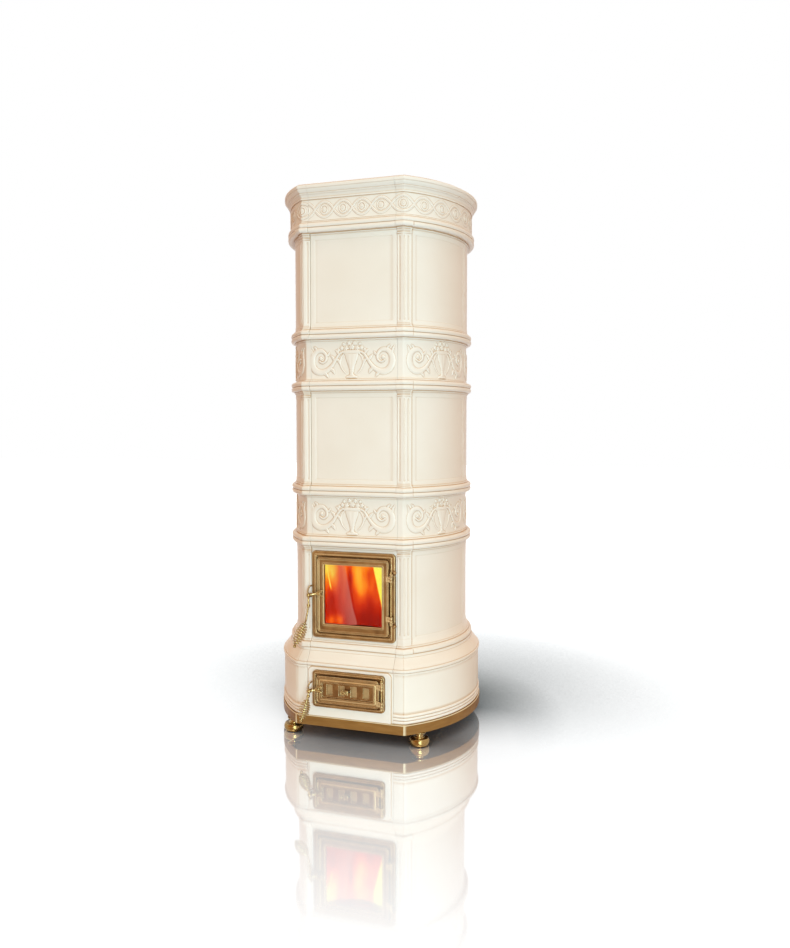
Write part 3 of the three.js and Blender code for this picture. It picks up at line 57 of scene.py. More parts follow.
# The plain tile face in the row frame, from the reach of a plain tile's belt.
FACE_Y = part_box("middle_front")[0].y / MM + BELT_REACH

# Plan
DEPTH = 631.0
HALF = 187.0
RADIUS = 422.0
CENTRE_X = HALF - math.sqrt(RADIUS ** 2 - (DEPTH / 2) ** 2)
ARC = 2 * math.asin(DEPTH / 2 / RADIUS) * RADIUS
# The front tile ends at a joint on the front face, which the side tile turns round the corner to.
JOINT = 165.0
GAP = 0.45
EDGE = JOINT - GAP
TURN = HALF - JOINT
SEAM = 0.35
WALL = 16.0
COLLAR = 48.0
FLANGE = 12.0
# Where each tile of a course starts and ends, and the corner of the stove that it turns round.
SPANS = {
    "front": (-EDGE, EDGE, ()),
    "side_front": (-TURN, ARC / 2 - SEAM, (0.0,)),
    "side_rear": (ARC / 2 + SEAM, ARC + TURN, (ARC,)),
}


def node_z(node):
    low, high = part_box(node)
    return low.z / MM, high.z / MM


def node_middle(node):
    """The middle of a solid's box, with y from the tile face."""
    low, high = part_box(node)
    return (low.x + high.x) / 2 / MM, (low.y + high.y) / 2 / MM - FACE_Y, (low.z + high.z) / 2 / MM


# ------------------------------------------------------------------ materials


class Nodes:
    """A node tree under construction. An input is given as a value or as another node's socket."""

    def __init__(self, owner):
        owner.use_nodes = True
        self.tree = owner.node_tree
        self.tree.nodes.clear()

    def plug(self, socket, value):
        if isinstance(value, bpy.types.NodeSocket):
            self.tree.links.new(value, socket)
        else:
            socket.default_value = value

    def add(self, kind, inputs=None, **options):
        """Makes a node and gives its outputs."""
        node = self.tree.nodes.new("ShaderNode" + kind)
        for name, value in options.items():
            setattr(node, name, value)
        for socket, value in (inputs or {}).items():
            self.plug(node.inputs[socket], value)
        return node.outputs

    def maths(self, operation, a, b=0.0):
        return self.add("Math", {0: a, 1: b}, operation=operation)[0]

    def times(self, a, b):
        return self.maths("MULTIPLY", a, b)

    def plus(self, a, b):
        return self.maths("ADD", a, b)

    def minus(self, a, b):
        return self.maths("SUBTRACT", a, b)

    def grade(self, value, low, high, to_low=0.0, to_high=1.0):
        limits = {"From Min": low, "From Max": high, "To Min": to_low, "To Max": to_high}
        return self.add("MapRange", {"Value": value, **limits})["Result"]


class Paint(Nodes):
    """A material: a Principled shader and the nodes that feed it."""

    def __init__(self, name):
        self.material = bpy.data.materials.new(name)
        super().__init__(self.material)
        self.output = self.tree.nodes.new("ShaderNodeOutputMaterial")
        self.shader = self.tree.nodes.new("ShaderNodeBsdfPrincipled")
        self.plug(self.output.inputs["Surface"], self.shader.outputs[0])
        self.place = self.add("TexCoord")

    def set(self, **values):
        """Gives the shader's inputs."""
        for name, value in values.items():
            self.plug(self.shader.inputs[name.replace("_", " ")], value)

    def noise(self, scale, detail=4.0, rough=0.5, stretch=None):
        place = self.place["Object"]
        if stretch:
            place = self.add("Mapping", {"Vector": place, "Scale": stretch})["Vector"]
        inputs = {"Scale": scale, "Detail": detail, "Roughness": rough, "Vector": place}
        return self.add("TexNoise", inputs)["Fac"]

    def attribute(self, name):
        return self.add("Attribute", attribute_name=name)["Fac"]

    def ramp(self, value, *stops):
        node = self.tree.nodes.new("ShaderNodeValToRGB")
        elements = node.color_ramp.elements
        while len(elements) < len(stops):
            elements.new(0.5)
        for element, (place, colour) in zip(elements, stops):
            element.position = place
            element.color = (*colour, 1.0)
        self.plug(node.inputs["Fac"], value)
        return node.outputs["Color"]

    def mix(self, share, a, b):
        a, b = [c if isinstance(c, bpy.types.NodeSocket) else (*c, 1.0) for c in (a, b)]
        return self.add("Mix", {0: share, 6: a, 7: b}, data_type="RGBA")[2]

    def rounded(self, radius):
        """The normal with rounded edges."""
        return self.add("Bevel", {"Radius": radius}, samples=6)["Normal"]

    def edge(self, radius):
        """1 along the edges of a casting, 0 on its faces."""
        normals = {0: self.rounded(radius), 1: self.add("NewGeometry")["True Normal"]}
        dot = self.add("VectorMath", normals, operation="DOT_PRODUCT")["Value"]
        return self.grade(self.minus(1.0, dot), 0.0004, 0.05)

    def gloss(self, scale, detail, low, high, top=0.7):
        """A roughness that wanders from low to high."""
        self.set(Roughness=self.grade(self.noise(scale, detail), 0.3, top, low, high))

    def bump(self, height, distance, strength=1.0):
        inputs = {"Height": height, "Distance": distance, "Strength": strength}
        before = self.shader.inputs["Normal"]
        if before.is_linked:
            inputs["Normal"] = before.links[0].from_socket
        self.set(Normal=self.add("Bump", inputs)["Normal"])


def glazed_tile():
    p = Paint("cream_glaze")
    body = p.ramp(p.noise(5.0, 3.0), (0.3, (0.86, 0.79, 0.69)), (0.7, (0.89, 0.83, 0.74)))
    # Tan in the hollows of the relief and along the joints: glaze pooling in the hollows and dark joints,
    # with painted shade in the recesses.
    pooled_and_shaded = p.mix(p.grade(p.attribute("recess"), 0.06, 0.95), body, (0.60, 0.40, 0.23))
    # Lighter on the ridges of the relief: painted highlight.
    bright = p.mix(p.grade(p.attribute("ridge"), 0.2, 1.0, 0.0, 0.5), pooled_and_shaded, (0.93, 0.89, 0.82))
    p.gloss(22.0, 3.0, 0.28, 0.34)
    p.bump(p.noise(26.0, 2.0), 0.0006, 0.2)
    p.set(Base_Color=bright, IOR=1.45, Specular_IOR_Level=0.2, Coat_Weight=0.05, Coat_Roughness=0.12)
    return p.material


def antique_brass():
    p = Paint("antique_brass")
    p.set(Normal=p.rounded(0.0012), Metallic=1.0)
    metal = p.ramp(p.noise(30.0, 5.0, 0.6), (0.3, (0.165, 0.074, 0.024)), (0.5, (0.255, 0.122, 0.041)),
                   (0.75, (0.37, 0.190, 0.070)))
    metal = p.mix(p.grade(p.noise(150.0, 4.0, 0.7), 0.30, 0.45, 0.55, 0.0), metal, (0.09, 0.05, 0.02))
    # Lighter along the edges: painted highlight, partly rubbed wear.
    p.set(Base_Color=p.mix(p.times(p.edge(0.0018), 0.9), metal, (0.98, 0.74, 0.38)))
    p.gloss(60.0, 4.0, 0.34, 0.55)
    p.bump(p.noise(240.0, 4.0, 0.6), 0.0006, 0.4)
    return p.material


def polished_brass():
    p = Paint("polished_brass")
    p.set(Normal=p.rounded(0.0008), Metallic=1.0)
    metal = p.ramp(p.noise(34.0, 5.0, 0.6), (0.3, (0.26, 0.145, 0.045)), (0.7, (0.44, 0.27, 0.095)))
    # Lighter along the edges: painted highlight, partly rubbed wear.
    p.set(Base_Color=p.mix(p.times(p.edge(0.001), 0.6), metal, (0.95, 0.78, 0.42)))
    p.gloss(90.0, 4.0, 0.18, 0.34, top=0.75)
    p.bump(p.noise(420.0, 3.0), 0.0002, 0.25)
    return p.material


# A paler, less metallic brass for the vent slide: painted reflection of the room that it faces.
def pale_brass():
    p = Paint("pale_brass")
    p.set(Normal=p.rounded(0.0006), Metallic=0.6)
    metal = p.ramp(p.noise(40.0, 5.0, 0.6), (0.3, (0.36, 0.225, 0.095)), (0.7, (0.50, 0.325, 0.145)))
    p.set(Base_Color=metal)
    p.gloss(90.0, 4.0, 0.50, 0.62, top=0.75)
    p.bump(p.noise(420.0, 3.0), 0.0002, 0.25)
    return p.material


def gilt_paint():
    p = Paint("gilt_paint")
    streaks = p.noise(14.0, 4.0, 0.55, stretch=(1.0, 1.0, 6.0))
    metal = p.ramp(streaks, (0.3, (0.24, 0.112, 0.028)), (0.7, (0.32, 0.158, 0.044)))
    # Lighter along the corner line and the top bead: painted highlight.
    p.set(Base_Color=p.mix(p.grade(p.attribute("ridge"), 0.2, 1.0, 0.0, 0.75), metal, (0.90, 0.76, 0.50)))
    p.gloss(45.0, 4.0, 0.30, 0.46)
    p.bump(p.noise(160.0, 4.0), 0.0005, 0.3)
    p.set(Metallic=0.08, Specular_IOR_Level=0.12)
    return p.material


def enamel():
    p = Paint("cream_enamel")
    p.set(Base_Color=p.ramp(p.noise(4.0, 3.0), (0.3, (0.74, 0.66, 0.55)), (0.7, (0.79, 0.72, 0.61))))
    p.gloss(40.0, 4.0, 0.38, 0.52)
    p.bump(p.noise(320.0, 3.0), 0.0004, 0.35)
    return p.material


def sheet_steel():
    p = Paint("heat_dulled_steel")
    p.set(Metallic=0.85, Base_Color=p.ramp(p.noise(7.0, 4.0, 0.55), (0.3, (0.055, 0.055, 0.058)),
                                           (0.6, (0.10, 0.09, 0.085)), (0.85, (0.14, 0.11, 0.09))))
    p.gloss(30.0, 5.0, 0.42, 0.62)
    p.bump(p.noise(260.0, 4.0), 0.0004, 0.4)
    return p.material


def cast_iron():
    p = Paint("sooty_iron")
    soot = p.ramp(p.noise(18.0, 6.0, 0.65), (0.3, (0.018, 0.017, 0.016)), (0.75, (0.06, 0.052, 0.045)))
    p.set(Base_Color=soot, Metallic=0.6)
    p.gloss(50.0, 4.0, 0.6, 0.85)
    p.bump(p.noise(190.0, 6.0, 0.7), 0.0012, 0.6)
    return p.material


def fireclay():
    p = Paint("fireclay")
    grain = p.noise(85.0, 6.0, 0.7)
    clay = p.ramp(grain, (0.3, (0.42, 0.32, 0.21)), (0.7, (0.60, 0.49, 0.35)))
    soot = p.grade(p.noise(6.0, 4.0, 0.6), 0.45, 0.75, 0.0, 0.55)
    p.set(Base_Color=p.mix(soot, clay, (0.08, 0.065, 0.05)), Roughness=0.92)
    p.bump(grain, 0.0015, 0.5)
    return p.material


def rope_seal():
    p = Paint("glass_rope")
    weave = p.noise(900.0, 2.0, 0.5, stretch=(1.0, 3.0, 1.0))
    p.set(Base_Color=p.ramp(weave, (0.35, (0.11, 0.105, 0.10)), (0.65, (0.30, 0.29, 0.28))), Roughness=0.95,
          Sheen_Weight=0.3)
    p.bump(weave, 0.0008, 0.8)
    return p.material


def fire_glass():
    p = Paint("fire_glass")
    soot = p.ramp(p.noise(16.0, 5.0, 0.6), (0.4, (1.0, 0.97, 0.92)), (0.8, (0.97, 0.88, 0.76)))
    p.set(Base_Color=soot, IOR=1.15, Transmission_Weight=1.0)
    p.gloss(30.0, 3.0, 0.02, 0.05)
    return p.material


# Patches of more or less heat in the flames: place across and up the pane, half-width, half-height, amount.
FLAME_BLOBS = (
    (0.60, 0.85, 0.09, 0.36, 0.34), (0.66, 0.60, 0.16, 0.20, 0.12), (0.02, 1.05, 0.16, 0.30, 0.42),
    (0.17, 0.82, 0.06, 0.24, 0.30), (0.75, 0.98, 0.05, 0.22, 0.06), (0.08, 0.06, 0.10, 0.10, 0.34),
    (0.27, 0.05, 0.07, 0.11, 0.36), (0.43, 0.80, 0.05, 0.40, -0.22), (0.70, 0.12, 0.22, 0.16, -0.12),
    (0.74, 0.84, 0.04, 0.14, -0.16), (0.12, 0.42, 0.16, 0.22, -0.06),
)


def flame():
    """Flames as light, by place across and up the pane: a yellow wedge at the right, orange tongues in the
    middle, dark red below, and a slanting reflection of the room over the left part."""
    p = Paint("flames")
    split = p.add("SeparateXYZ", {0: p.place["Generated"]})
    across = p.plus(p.grade(split["X"], 0.016, 0.36, 0.0, 0.5), p.grade(split["X"], 0.36, 0.87, 0.0, 0.5))
    up = p.grade(split["Z"], 0.03, 0.86)
    down = p.minus(1.0, up)
    wave = p.minus(p.noise(9.0, 3.0, 0.5, stretch=(1.8, 1.0, 0.6)), 0.5)
    swayed = p.plus(across, p.times(wave, 0.16))
    tongues = p.minus(p.noise(15.0, 4.0, 0.6, stretch=(2.8, 1.0, 0.6)), 0.5)

    def beyond(where, at_top, slope):
        """How far a place lies right of a line that leans out to the right on its way down."""
        return p.minus(where, p.plus(at_top, p.times(down, slope)))

    def squared(value, middle, half):
        return p.maths("POWER", p.maths("DIVIDE", p.maths("ABSOLUTE", p.minus(value, middle)), half), 2.0)

    heat = p.plus(p.grade(up, 0.05, 0.95, 0.14, 0.50), p.times(tongues, p.grade(up, 0.0, 1.0, 0.45, 0.75)))
    for middle, rise, half_x, half_z, amount in FLAME_BLOBS:
        far = p.plus(squared(swayed, middle, half_x), squared(up, rise, half_z))
        heat = p.plus(heat, p.times(p.maths("POWER", math.e, p.times(far, -1.0)), amount))
    wedge = p.grade(beyond(p.plus(across, p.times(wave, 0.05)), 0.80, 0.245), -0.012, 0.02)
    streak = p.grade(p.maths("ABSOLUTE", beyond(across, 0.035, 0.17)), 0.022, 0.006, 0.0, 0.95)
    streak = p.times(streak, p.grade(up, 0.52, 0.66))
    glow = p.ramp(
        p.maths("MAXIMUM", p.maths("MAXIMUM", heat, wedge), streak),
        (0.0, (0.24, 0.002, 0.0)),
        (0.14, (0.40, 0.006, 0.0)),
        (0.30, (0.62, 0.022, 0.001)),
        (0.46, (0.86, 0.085, 0.002)),
        (0.62, (1.0, 0.24, 0.006)),
        (0.80, (1.0, 0.46, 0.03)),
        (1.0, (1.0, 0.94, 0.12)),
    )
    slant = beyond(across, 0.345, 0.215)
    veil = p.times(p.grade(slant, 0.004, -0.004), p.grade(slant, -0.34, -0.02, 0.0, 0.62))
    veil = p.times(veil, p.grade(up, 1.0, 0.6, 0.75, 1.0))
    p.set(Base_Color=(0.0, 0.0, 0.0, 1.0), Roughness=1.0, Specular_IOR_Level=0.0, Emission_Strength=1.0,
          Emission_Color=p.mix(veil, glow, (0.60, 0.165, 0.13)))
    return p.material


FLOOR_GLOW = 1.0
FAR_GLOW = 0.2
FLOOR_COLOUR = (0.08, 0.11, 0.13)
FLOOR_BOUNCE = (0.34, 0.19, 0.10)
FLOOR_WHITE = (0.985, 0.99, 1.0, 1.0)
MIRROR_SHARE = 0.74
MIRROR_LEAN = 0.32
# How far each soft shadow reaches, the way it leans and how strong it is.
FLOOR_SHADOWS = (
    (1.2, (-0.10, -0.97, 0.18), 2.6),
    (0.36, (-0.60, -0.72, 0.35), 1.4),
    (0.3, (0.0, 0.0, 1.0), 0.5),
)


def studio_floor():
    """White to the camera, with a soft shadow behind and to the right of the stove, and a mirror image
    that fades towards the camera. The stove sees the floor tan."""
    p = Paint("pale_floor")
    rays = p.add("LightPath")
    seen = p.maths("MAXIMUM", rays["Is Camera Ray"], rays["Is Glossy Ray"])
    place = p.place["Object"]
    split = p.add("SeparateXYZ", {0: place})
    shade = 1.0
    for reach, lean, power in FLOOR_SHADOWS:
        way = p.add("CombineXYZ", dict(zip("XYZ", lean)))[0]
        open_sky = p.add("AmbientOcclusion", {"Distance": reach, "Normal": way}, samples=8)["AO"]
        shade = p.times(shade, p.maths("POWER", open_sky, power))
    distance = p.add("VectorMath", {0: place}, operation="LENGTH")["Value"]
    glow = p.plus(FLOOR_GLOW, p.grade(distance, 0.7, 2.4, 0.0, FAR_GLOW))
    white = p.add("Emission", {"Color": FLOOR_WHITE, "Strength": p.times(seen, p.times(shade, glow))})[0]
    p.set(Base_Color=p.mix(rays["Is Diffuse Ray"], FLOOR_COLOUR, FLOOR_BOUNCE), Roughness=0.9,
          Specular_IOR_Level=0.0)
    matt = p.add("AddShader", {0: white, 1: p.shader.outputs[0]})[0]
    mirror = p.add("BsdfGlossy", {"Roughness": 0.05, "Color": (1.0, 1.0, 1.0, 1.0)})[0]
    # the mirror is a strip from the stove towards the camera
    aside = p.maths("ABSOLUTE", p.plus(split["X"], p.times(split["Y"], MIRROR_LEAN)))
    strip = p.times(p.grade(split["Y"], -1.75, -0.40), p.grade(split["Y"], 0.2, -0.2))
    strip = p.times(strip, p.grade(aside, 0.72, 0.52))
    share = p.add("MixShader", {0: p.times(strip, MIRROR_SHARE), 1: matt, 2: mirror})[0]
    p.plug(p.output.inputs["Surface"], share)
    return p.material


MATERIALS = {
    "glazed_tile": glazed_tile(),
    "antique_brass": antique_brass(),
    "polished_brass": polished_brass(),
    "gilt_steel": gilt_paint(),
    "back_enamel": enamel(),
    "firebox_steel": sheet_steel(),
    "cast_iron": cast_iron(),
    "fireclay": fireclay(),
    "rope_seal": rope_seal(),
    "fire_glass": fire_glass(),
}

# ------------------------------------------------------------------ meshes


def skin(rings, count, closed):
    """Quads between rings of count points that follow each other, and a face at each end."""
    faces = []
    for i in range(rings if closed else rings - 1):
        a, b = i * count, (i + 1) % rings * count
        faces += [(a + j, a + (j + 1) % count, b + (j + 1) % count, b + j) for j in range(count)]
    if not closed:
        faces += [tuple(range(count))[::-1], tuple(range((rings - 1) * count, rings * count))]
    return faces


def turned_out(verts, faces):
    """The faces, turned over if they face in."""
    volume = 0.0
    for size in {len(face) for face in faces}:
        p = verts[np.array([face for face in faces if len(face) == size])]
        for k in range(1, size - 1):
            volume += np.einsum("ij,ij->", p[:, 0], np.cross(p[:, k], p[:, k + 1]))
    return faces if volume > 0 else [tuple(reversed(face)) for face in faces]


def show(name, rings, slot, body="stove", place=(0, 0, 0), replaces=None, angle=32.0, closed=False,
         layers=None, material=None):
    """A piece from rings of points in millimetres: smooth, with hard edges where it turns sharply. Its
    first and last rings are its ends, unless it is closed and they meet."""
    rings = np.asarray(rings, float)
    verts = rings.reshape(-1, 3) + place
    faces = turned_out(verts, skin(*rings.shape[:2], closed))
    verts[:, 1] += FACE_Y
    mesh = bpy.data.meshes.new(name)
    mesh.from_pydata((verts * MM).tolist(), [], faces)
    mesh.validate()
    mesh.polygons.foreach_set("use_smooth", np.ones(len(mesh.polygons), bool))
    mesh.set_sharp_from_angle(angle=math.radians(angle))
    for layer, values in (layers or {}).items():
        attribute = mesh.attributes.new(layer, "FLOAT", "POINT")
        attribute.data.foreach_set("value", np.asarray(values, np.float32).ravel())
    mesh.materials.append(material or MATERIALS[slot])
    obj = bpy.data.objects.new(name, mesh)
    bpy.context.scene.collection.objects.link(obj)
    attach(obj, body)
    if replaces:
        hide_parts(replaces)
    return obj


def cut_box(obj, low, high):
    """Cuts a box, in millimetres, out of a piece."""
    mesh = bpy.data.meshes.new("cutter")
    bm = bmesh.new()
    bmesh.ops.create_cube(bm, size=1.0)
    size = [(b - a) * MM for a, b in zip(low, high)]
    middle = [(a + b) / 2 * MM for a, b in zip(low, high)]
    middle[1] += FACE_Y * MM
    bmesh.ops.transform(bm, matrix=Matrix.Translation(middle) @ Matrix.Diagonal((*size, 1)), verts=bm.verts)
    bm.to_mesh(mesh)
    bm.free()
    cutter = bpy.data.objects.new("cutter", mesh)
    bpy.context.scene.collection.objects.link(cutter)
    modifier = obj.modifiers.new("hole", "BOOLEAN")
    modifier.operation = "DIFFERENCE"
    modifier.object = cutter
    modifier.solver = "EXACT"
    cut = bpy.data.meshes.new_from_object(obj.evaluated_get(bpy.context.evaluated_depsgraph_get()))
    obj.modifiers.clear()
    cut.name = obj.data.name
    obj.data = cut
    bpy.data.objects.remove(cutter)


def spread(values, low, high, step):
    """Sorted places from low to high: the given ones, and others between them no further than step."""
    places = sorted({low, high, *[v for v in values if low < v < high]})
    out = [places[0]]
    for a, b in zip(places, places[1:]):
        parts = max(1, math.ceil((b - a) / step - 1e-6))
        out += [a + (b - a) * k / parts for k in range(1, parts + 1)]
    return np.array(out)


def shift(grid, places, axis, by):
    """The grid's values at places moved by a length along an axis."""
    moved = np.moveaxis(grid, axis, -1)
    rows = [np.interp(places + by, places, row) for row in moved.reshape(-1, moved.shape[-1])]
    return np.moveaxis(np.array(rows).reshape(moved.shape), -1, axis)


def relief_layers(reach, s, z, width=2.6, depth=1.1):
    """How far each point lies in a recess or on a ridge, from 0 to 1."""
    lines = ((s, 0), (z, 1))
    around = sum(shift(reach, places, axis, by) for places, axis in lines for by in (-width, width)) / 4
    return np.clip((around - reach) / depth, 0, 1), np.clip((reach - around) / depth, 0, 1)


def plan_right(s, reach):
    """Plan of the right side. s runs along the plain face from the front corner: below 0 on the
    front, above ARC on the back."""
    radius = RADIUS + reach
    corner = CENTRE_X + np.sqrt(radius ** 2 - (DEPTH / 2 + reach) ** 2)
    half = np.arcsin((DEPTH / 2 + reach) / radius)
    angle = half * (2 * np.clip(s / ARC, 0, 1) - 1)
    turned = np.clip(np.maximum(-s, s - ARC) / TURN, 0, 1)
    x = np.where(turned > 0, corner + turned * (JOINT + GAP - corner), CENTRE_X + radius * np.cos(angle))
    y = np.where(turned > 0, np.where(s < 0, -reach, DEPTH + reach), DEPTH / 2 + radius * np.sin(angle))
    return x, y


def plan_front(s, reach):
    """Plan of the front: s is x."""
    return s + 0 * reach, -reach + 0 * s


def tile(name, plan, s, z, reach, replaces, left, face):
    """A closed tile: its outer face stands out by reach at every s and z, and a collar is behind it."""
    bottom, top = z[0], z[-1]
    deep, wall = face - COLLAR, face - WALL
    collar = [(deep, top), (deep, top - FLANGE), (wall, top - FLANGE),
              (wall, bottom + FLANGE), (deep, bottom + FLANGE), (deep, bottom)]
    depths, heights = zip(*collar)
    whole = np.concatenate([reach, np.tile(depths, (len(s), 1))], axis=1)
    x, y = plan(s[:, None], whole)
    if left:
        x = -x
    rings = np.stack([x, y, np.tile([*z, *heights], (len(s), 1))], axis=-1)
    # The recess layer carries the tan of glaze pooling, dark joints and painted shade; the ridge layer
    # carries a painted highlight on the raised relief.
    pits, ridges = relief_layers(reach, s, z)
    near_joint = np.minimum(z - bottom, top - z) < 0.8
    behind = ((0, 0), (0, len(collar)))
    layers = {"recess": np.pad(np.maximum(pits, near_joint), behind), "ridge": np.pad(ridges, behind)}
    return show(name, rings, "glazed_tile", replaces=replaces, layers=layers)


def show_tile(course, part, s, z, reach, face=0.0):
    """One tile of a course, on both sides if it is a side tile. face is the reach of its wall's front."""
    if part == "front":
        return tile(f"{course}_front_tile", plan_front, s, z, reach, f"{course}_front", False, face)
    for side in ("right", "left"):
        replaces = f"{course}_{side}" if part == "side_front" else None
        name = f"{course}_{part.replace('side', side)}_tile"
        tile(name, plan_right, s, z, reach, replaces, side == "left", face)


# ------------------------------------------------------------------ tile profiles

NOWHERE = -1e3
TORUS_END = 17.0


def highest(*reaches):
    return functools.reduce(np.maximum, reaches)


def dome(x):
    """The height of a half-round over x from -1 to 1."""
    return np.sqrt(np.clip(1 - x ** 2, 0, 1))


def nick(x, width, depth):
    """A share that leaves a fine groove at x = 0."""
    return 1 - depth * np.exp(-(x / width) ** 2)


def swell(t, start, end, base, top):
    """A half-round from start to end that rises from base to top, and nothing outside."""
    rise = dome((t - (start + end) / 2) / ((end - start) / 2))
    return np.where(rise > 0, base + (top - base) * rise, NOWHERE)


def ease(t, start, end):
    share = np.clip((t - start) / (end - start), 0, 1)
    return share * share * (3 - 2 * share)


def torus(t, reach):
    return swell(t, -1.2, TORUS_END, reach - 7.5, reach)


def belt(t, reach, face=0.0):
    """A belt at a joint; t is the distance from the joint."""
    fillet = np.where(t < 22.5, face + 4.6, NOWHERE)
    cove = face + 1.7 * (1 - ease(t, 22.9, 30.0))
    return highest(torus(t, reach), fillet, cove)


BELT_ROWS = [0, 0.6, 1.4, 2.5, 4, 6, 8, 10, 12, 13.5, 14.8, 15.8, 16.5, 16.9, 17.3, 19, 21, 22.4, 22.9,
             25, 27.5, 30]


def foot_mould(t):
    """The lowest moulding of the body, which grows out of the cap."""
    points = [(0, 21), (3, 22), (10, 21.5), (15, 19.5), (18, 16.5), (18.6, 12.5), (24, 11.8),
              (24.6, 8.4), (31, 5.2), (38, 2.6), (46, 0.6), (52, 0)]
    return np.interp(t, *zip(*points))


FOOT_ROWS = [0, 1.5, 3, 6, 10, 13, 15, 16.8, 18, 18.6, 21, 24, 24.6, 28, 31, 34.5, 38, 42, 46, 52]
# A plain tile's field lies inside a border beside, above and below it, and is BORDER_STEP deep.
BORDER = 16.0
FOOT_BORDER = 52.0
BELT_BORDER = 39.0
HEAD_BORDER = 39.0
BORDER_STEP = 1.3


def plain_reach(s, z, head, left, right, foot):
    """A plain tile: mouldings at its foot and head, and a field sunk a little inside a border."""
    up, down = z - z[0], z[-1] - z
    rows = highest(foot_mould(up) if foot else belt(up, BELT_REACH), belt(down, head))
    below = FOOT_BORDER if foot else BELT_BORDER
    field = ease(up, below, below + 4) * ease(down, HEAD_BORDER, HEAD_BORDER + 4)
    across = ease(s - left, BORDER, BORDER + 4) * ease(right - s, BORDER, BORDER + 4)
    return rows - BORDER_STEP * across[:, None] * field


def soften(reach, s, ends=(), corners=(), size=1.3, radius=6.0):
    """Rounds a tile's upright edges, and the corner of the stove by the radius."""
    run = radius * math.tan(math.acos((DEPTH / 2) / RADIUS) / 2)
    for place in ends:
        reach = reach - size * np.exp(-np.abs(s - place) / 0.9)[:, None]
    for place in corners:
        left = np.clip(run - np.abs(s - place), 0, None)
        reach = reach - (radius - np.sqrt(radius ** 2 - left ** 2))[:, None]
    return reach


PILASTER_END = 31.0
BLOCK_END = PILASTER_END + 2.5
BLOCK_RISE = 4.2
FLUTES = (-13.5, 4.5, 19.5)
FLUTE_HALF = 4.3
FLUTE_DEPTH = 2.3
FLUTE_SHARES = (-1.05, -0.95, -0.7, -0.35, 0, 0.35, 0.7, 0.95, 1.05)
PILASTER_S = [-TURN, 0.0, PILASTER_END, PILASTER_END + 0.3, BLOCK_END, PILASTER_END + 2.8,
              *[place + share * FLUTE_HALF for place in FLUTES for share in FLUTE_SHARES]]


def pilaster(s, z, reach, foot):
    """A fluted pilaster over the front corner, with a base, a capital and blocks over the belts."""
    up, down = z - z[0], z[-1] - z
    low_block, high_block = 52.0 if foot else 30.0, 30.0
    cant = np.interp(s, [-TURN, 0, PILASTER_END], [4.5, 8.5, 6.5])[:, None]
    shaft = cant
    inside = np.minimum(up - low_block - 10, down - high_block - 16)
    for place in FLUTES:
        groove = dome((s[:, None] - place) / FLUTE_HALF)
        start = 1 - FLUTE_HALF * np.sqrt(groove ** 2 + 1e-9)
        shaft = shaft - FLUTE_DEPTH * groove * ease(inside, start, FLUTE_HALF)
    blocks = np.where((up < low_block) | (down < high_block), cant + 2.2, NOWHERE)
    necking = swell(down, high_block + 6, high_block + 10, 8.0, 9.6)
    whole = np.where(s[:, None] <= PILASTER_END, highest(shaft, blocks, necking, reach), reach)
    over = np.where((up < TORUS_END) | (down < TORUS_END), reach + BLOCK_RISE, NOWHERE)
    under = np.where((up < 22.6) | (down < 22.6), cant + 5.2, NOWHERE)
    return np.where(s[:, None] <= BLOCK_END, highest(whole, over, under), whole)


# ------------------------------------------------------------------ ornament


def catmull(points, steps):
    """A smooth line through the points."""
    points = np.asarray(points, float)
    padded = np.vstack([points[0] * 2 - points[1], points, points[-1] * 2 - points[-2]])
    out = []
    for a, b, c, d in zip(padded, padded[1:], padded[2:], padded[3:]):
        for k in range(steps):
            t = k / steps
            out.append(0.5 * ((2 * b) + (c - a) * t + (2 * a - 5 * b + 4 * c - d) * t * t
                              + (3 * b - a - 3 * c + d) * t ** 3))
    return np.array([*out, points[-1]])


def stroke(u, v, height, points, widths, rise, vein=0.0):
    """Adds a rounded bar along a smooth line of points. widths are its half-widths along it, and
    vein is how much of its height a groove down its middle takes away."""
    line = catmull(points, 10)
    widths = np.interp(np.linspace(0, 1, len(line)), np.linspace(0, 1, len(widths)), widths)
    low, high = line.min(axis=0) - widths.max() - 1, line.max(axis=0) + widths.max() + 1
    box = (u > low[0]) & (u < high[0]) & (v > low[1]) & (v < high[1])
    uu, vv = u[box], v[box]
    for (x0, y0), (x1, y1), w in zip(line, line[1:], widths):
        dx, dy = x1 - x0, y1 - y0
        t = np.clip(((uu - x0) * dx + (vv - y0) * dy) / (dx * dx + dy * dy + 1e-9), 0, 1)
        d = np.hypot(uu - x0 - t * dx, vv - y0 - t * dy)
        bar = dome(d / w) * rise * min(1.0, w / 3.0) * nick(d, 0.22 * w, vein)
        height[box] = np.maximum(height[box], bar)


def flower(u, v, height, cx, cy, radius, petals, rise):
    """Adds a small round flower: petals round a boss."""
    d = np.hypot(u - cx, v - cy)
    petal = np.abs(np.cos(petals * np.arctan2(v - cy, u - cx) / 2))
    shape = dome(d / (radius * (0.72 + 0.28 * petal))) * (0.62 + 0.38 * petal) * rise
    boss = dome(d / (0.3 * radius)) * rise * 1.12
    height[:] = highest(height, shape, boss)


def leaf(u, v, height, root, tip, width, rise, bend):
    """Adds a pointed leaf from root to tip with a sunk midrib."""
    (x0, y0), (x1, y1) = root, tip
    length = math.hypot(x1 - x0, y1 - y0)
    ex, ey = (x1 - x0) / length, (y1 - y0) / length
    along = ((u - x0) * ex + (v - y0) * ey) / length
    share = np.clip(along, 0, 1)
    across = -(u - x0) * ey + (v - y0) * ex - bend * np.sin(np.pi * share)
    half = width * np.clip(np.sin(np.pi * share ** 0.8), 0, 1) ** 0.8 + 1e-6
    inside = (along > 0) & (along < 1) & (np.abs(across) < half)
    shape = dome(across / half) * rise * nick(across, 0.9, 0.35)
    height[:] = highest(height, np.where(inside, shape, 0))


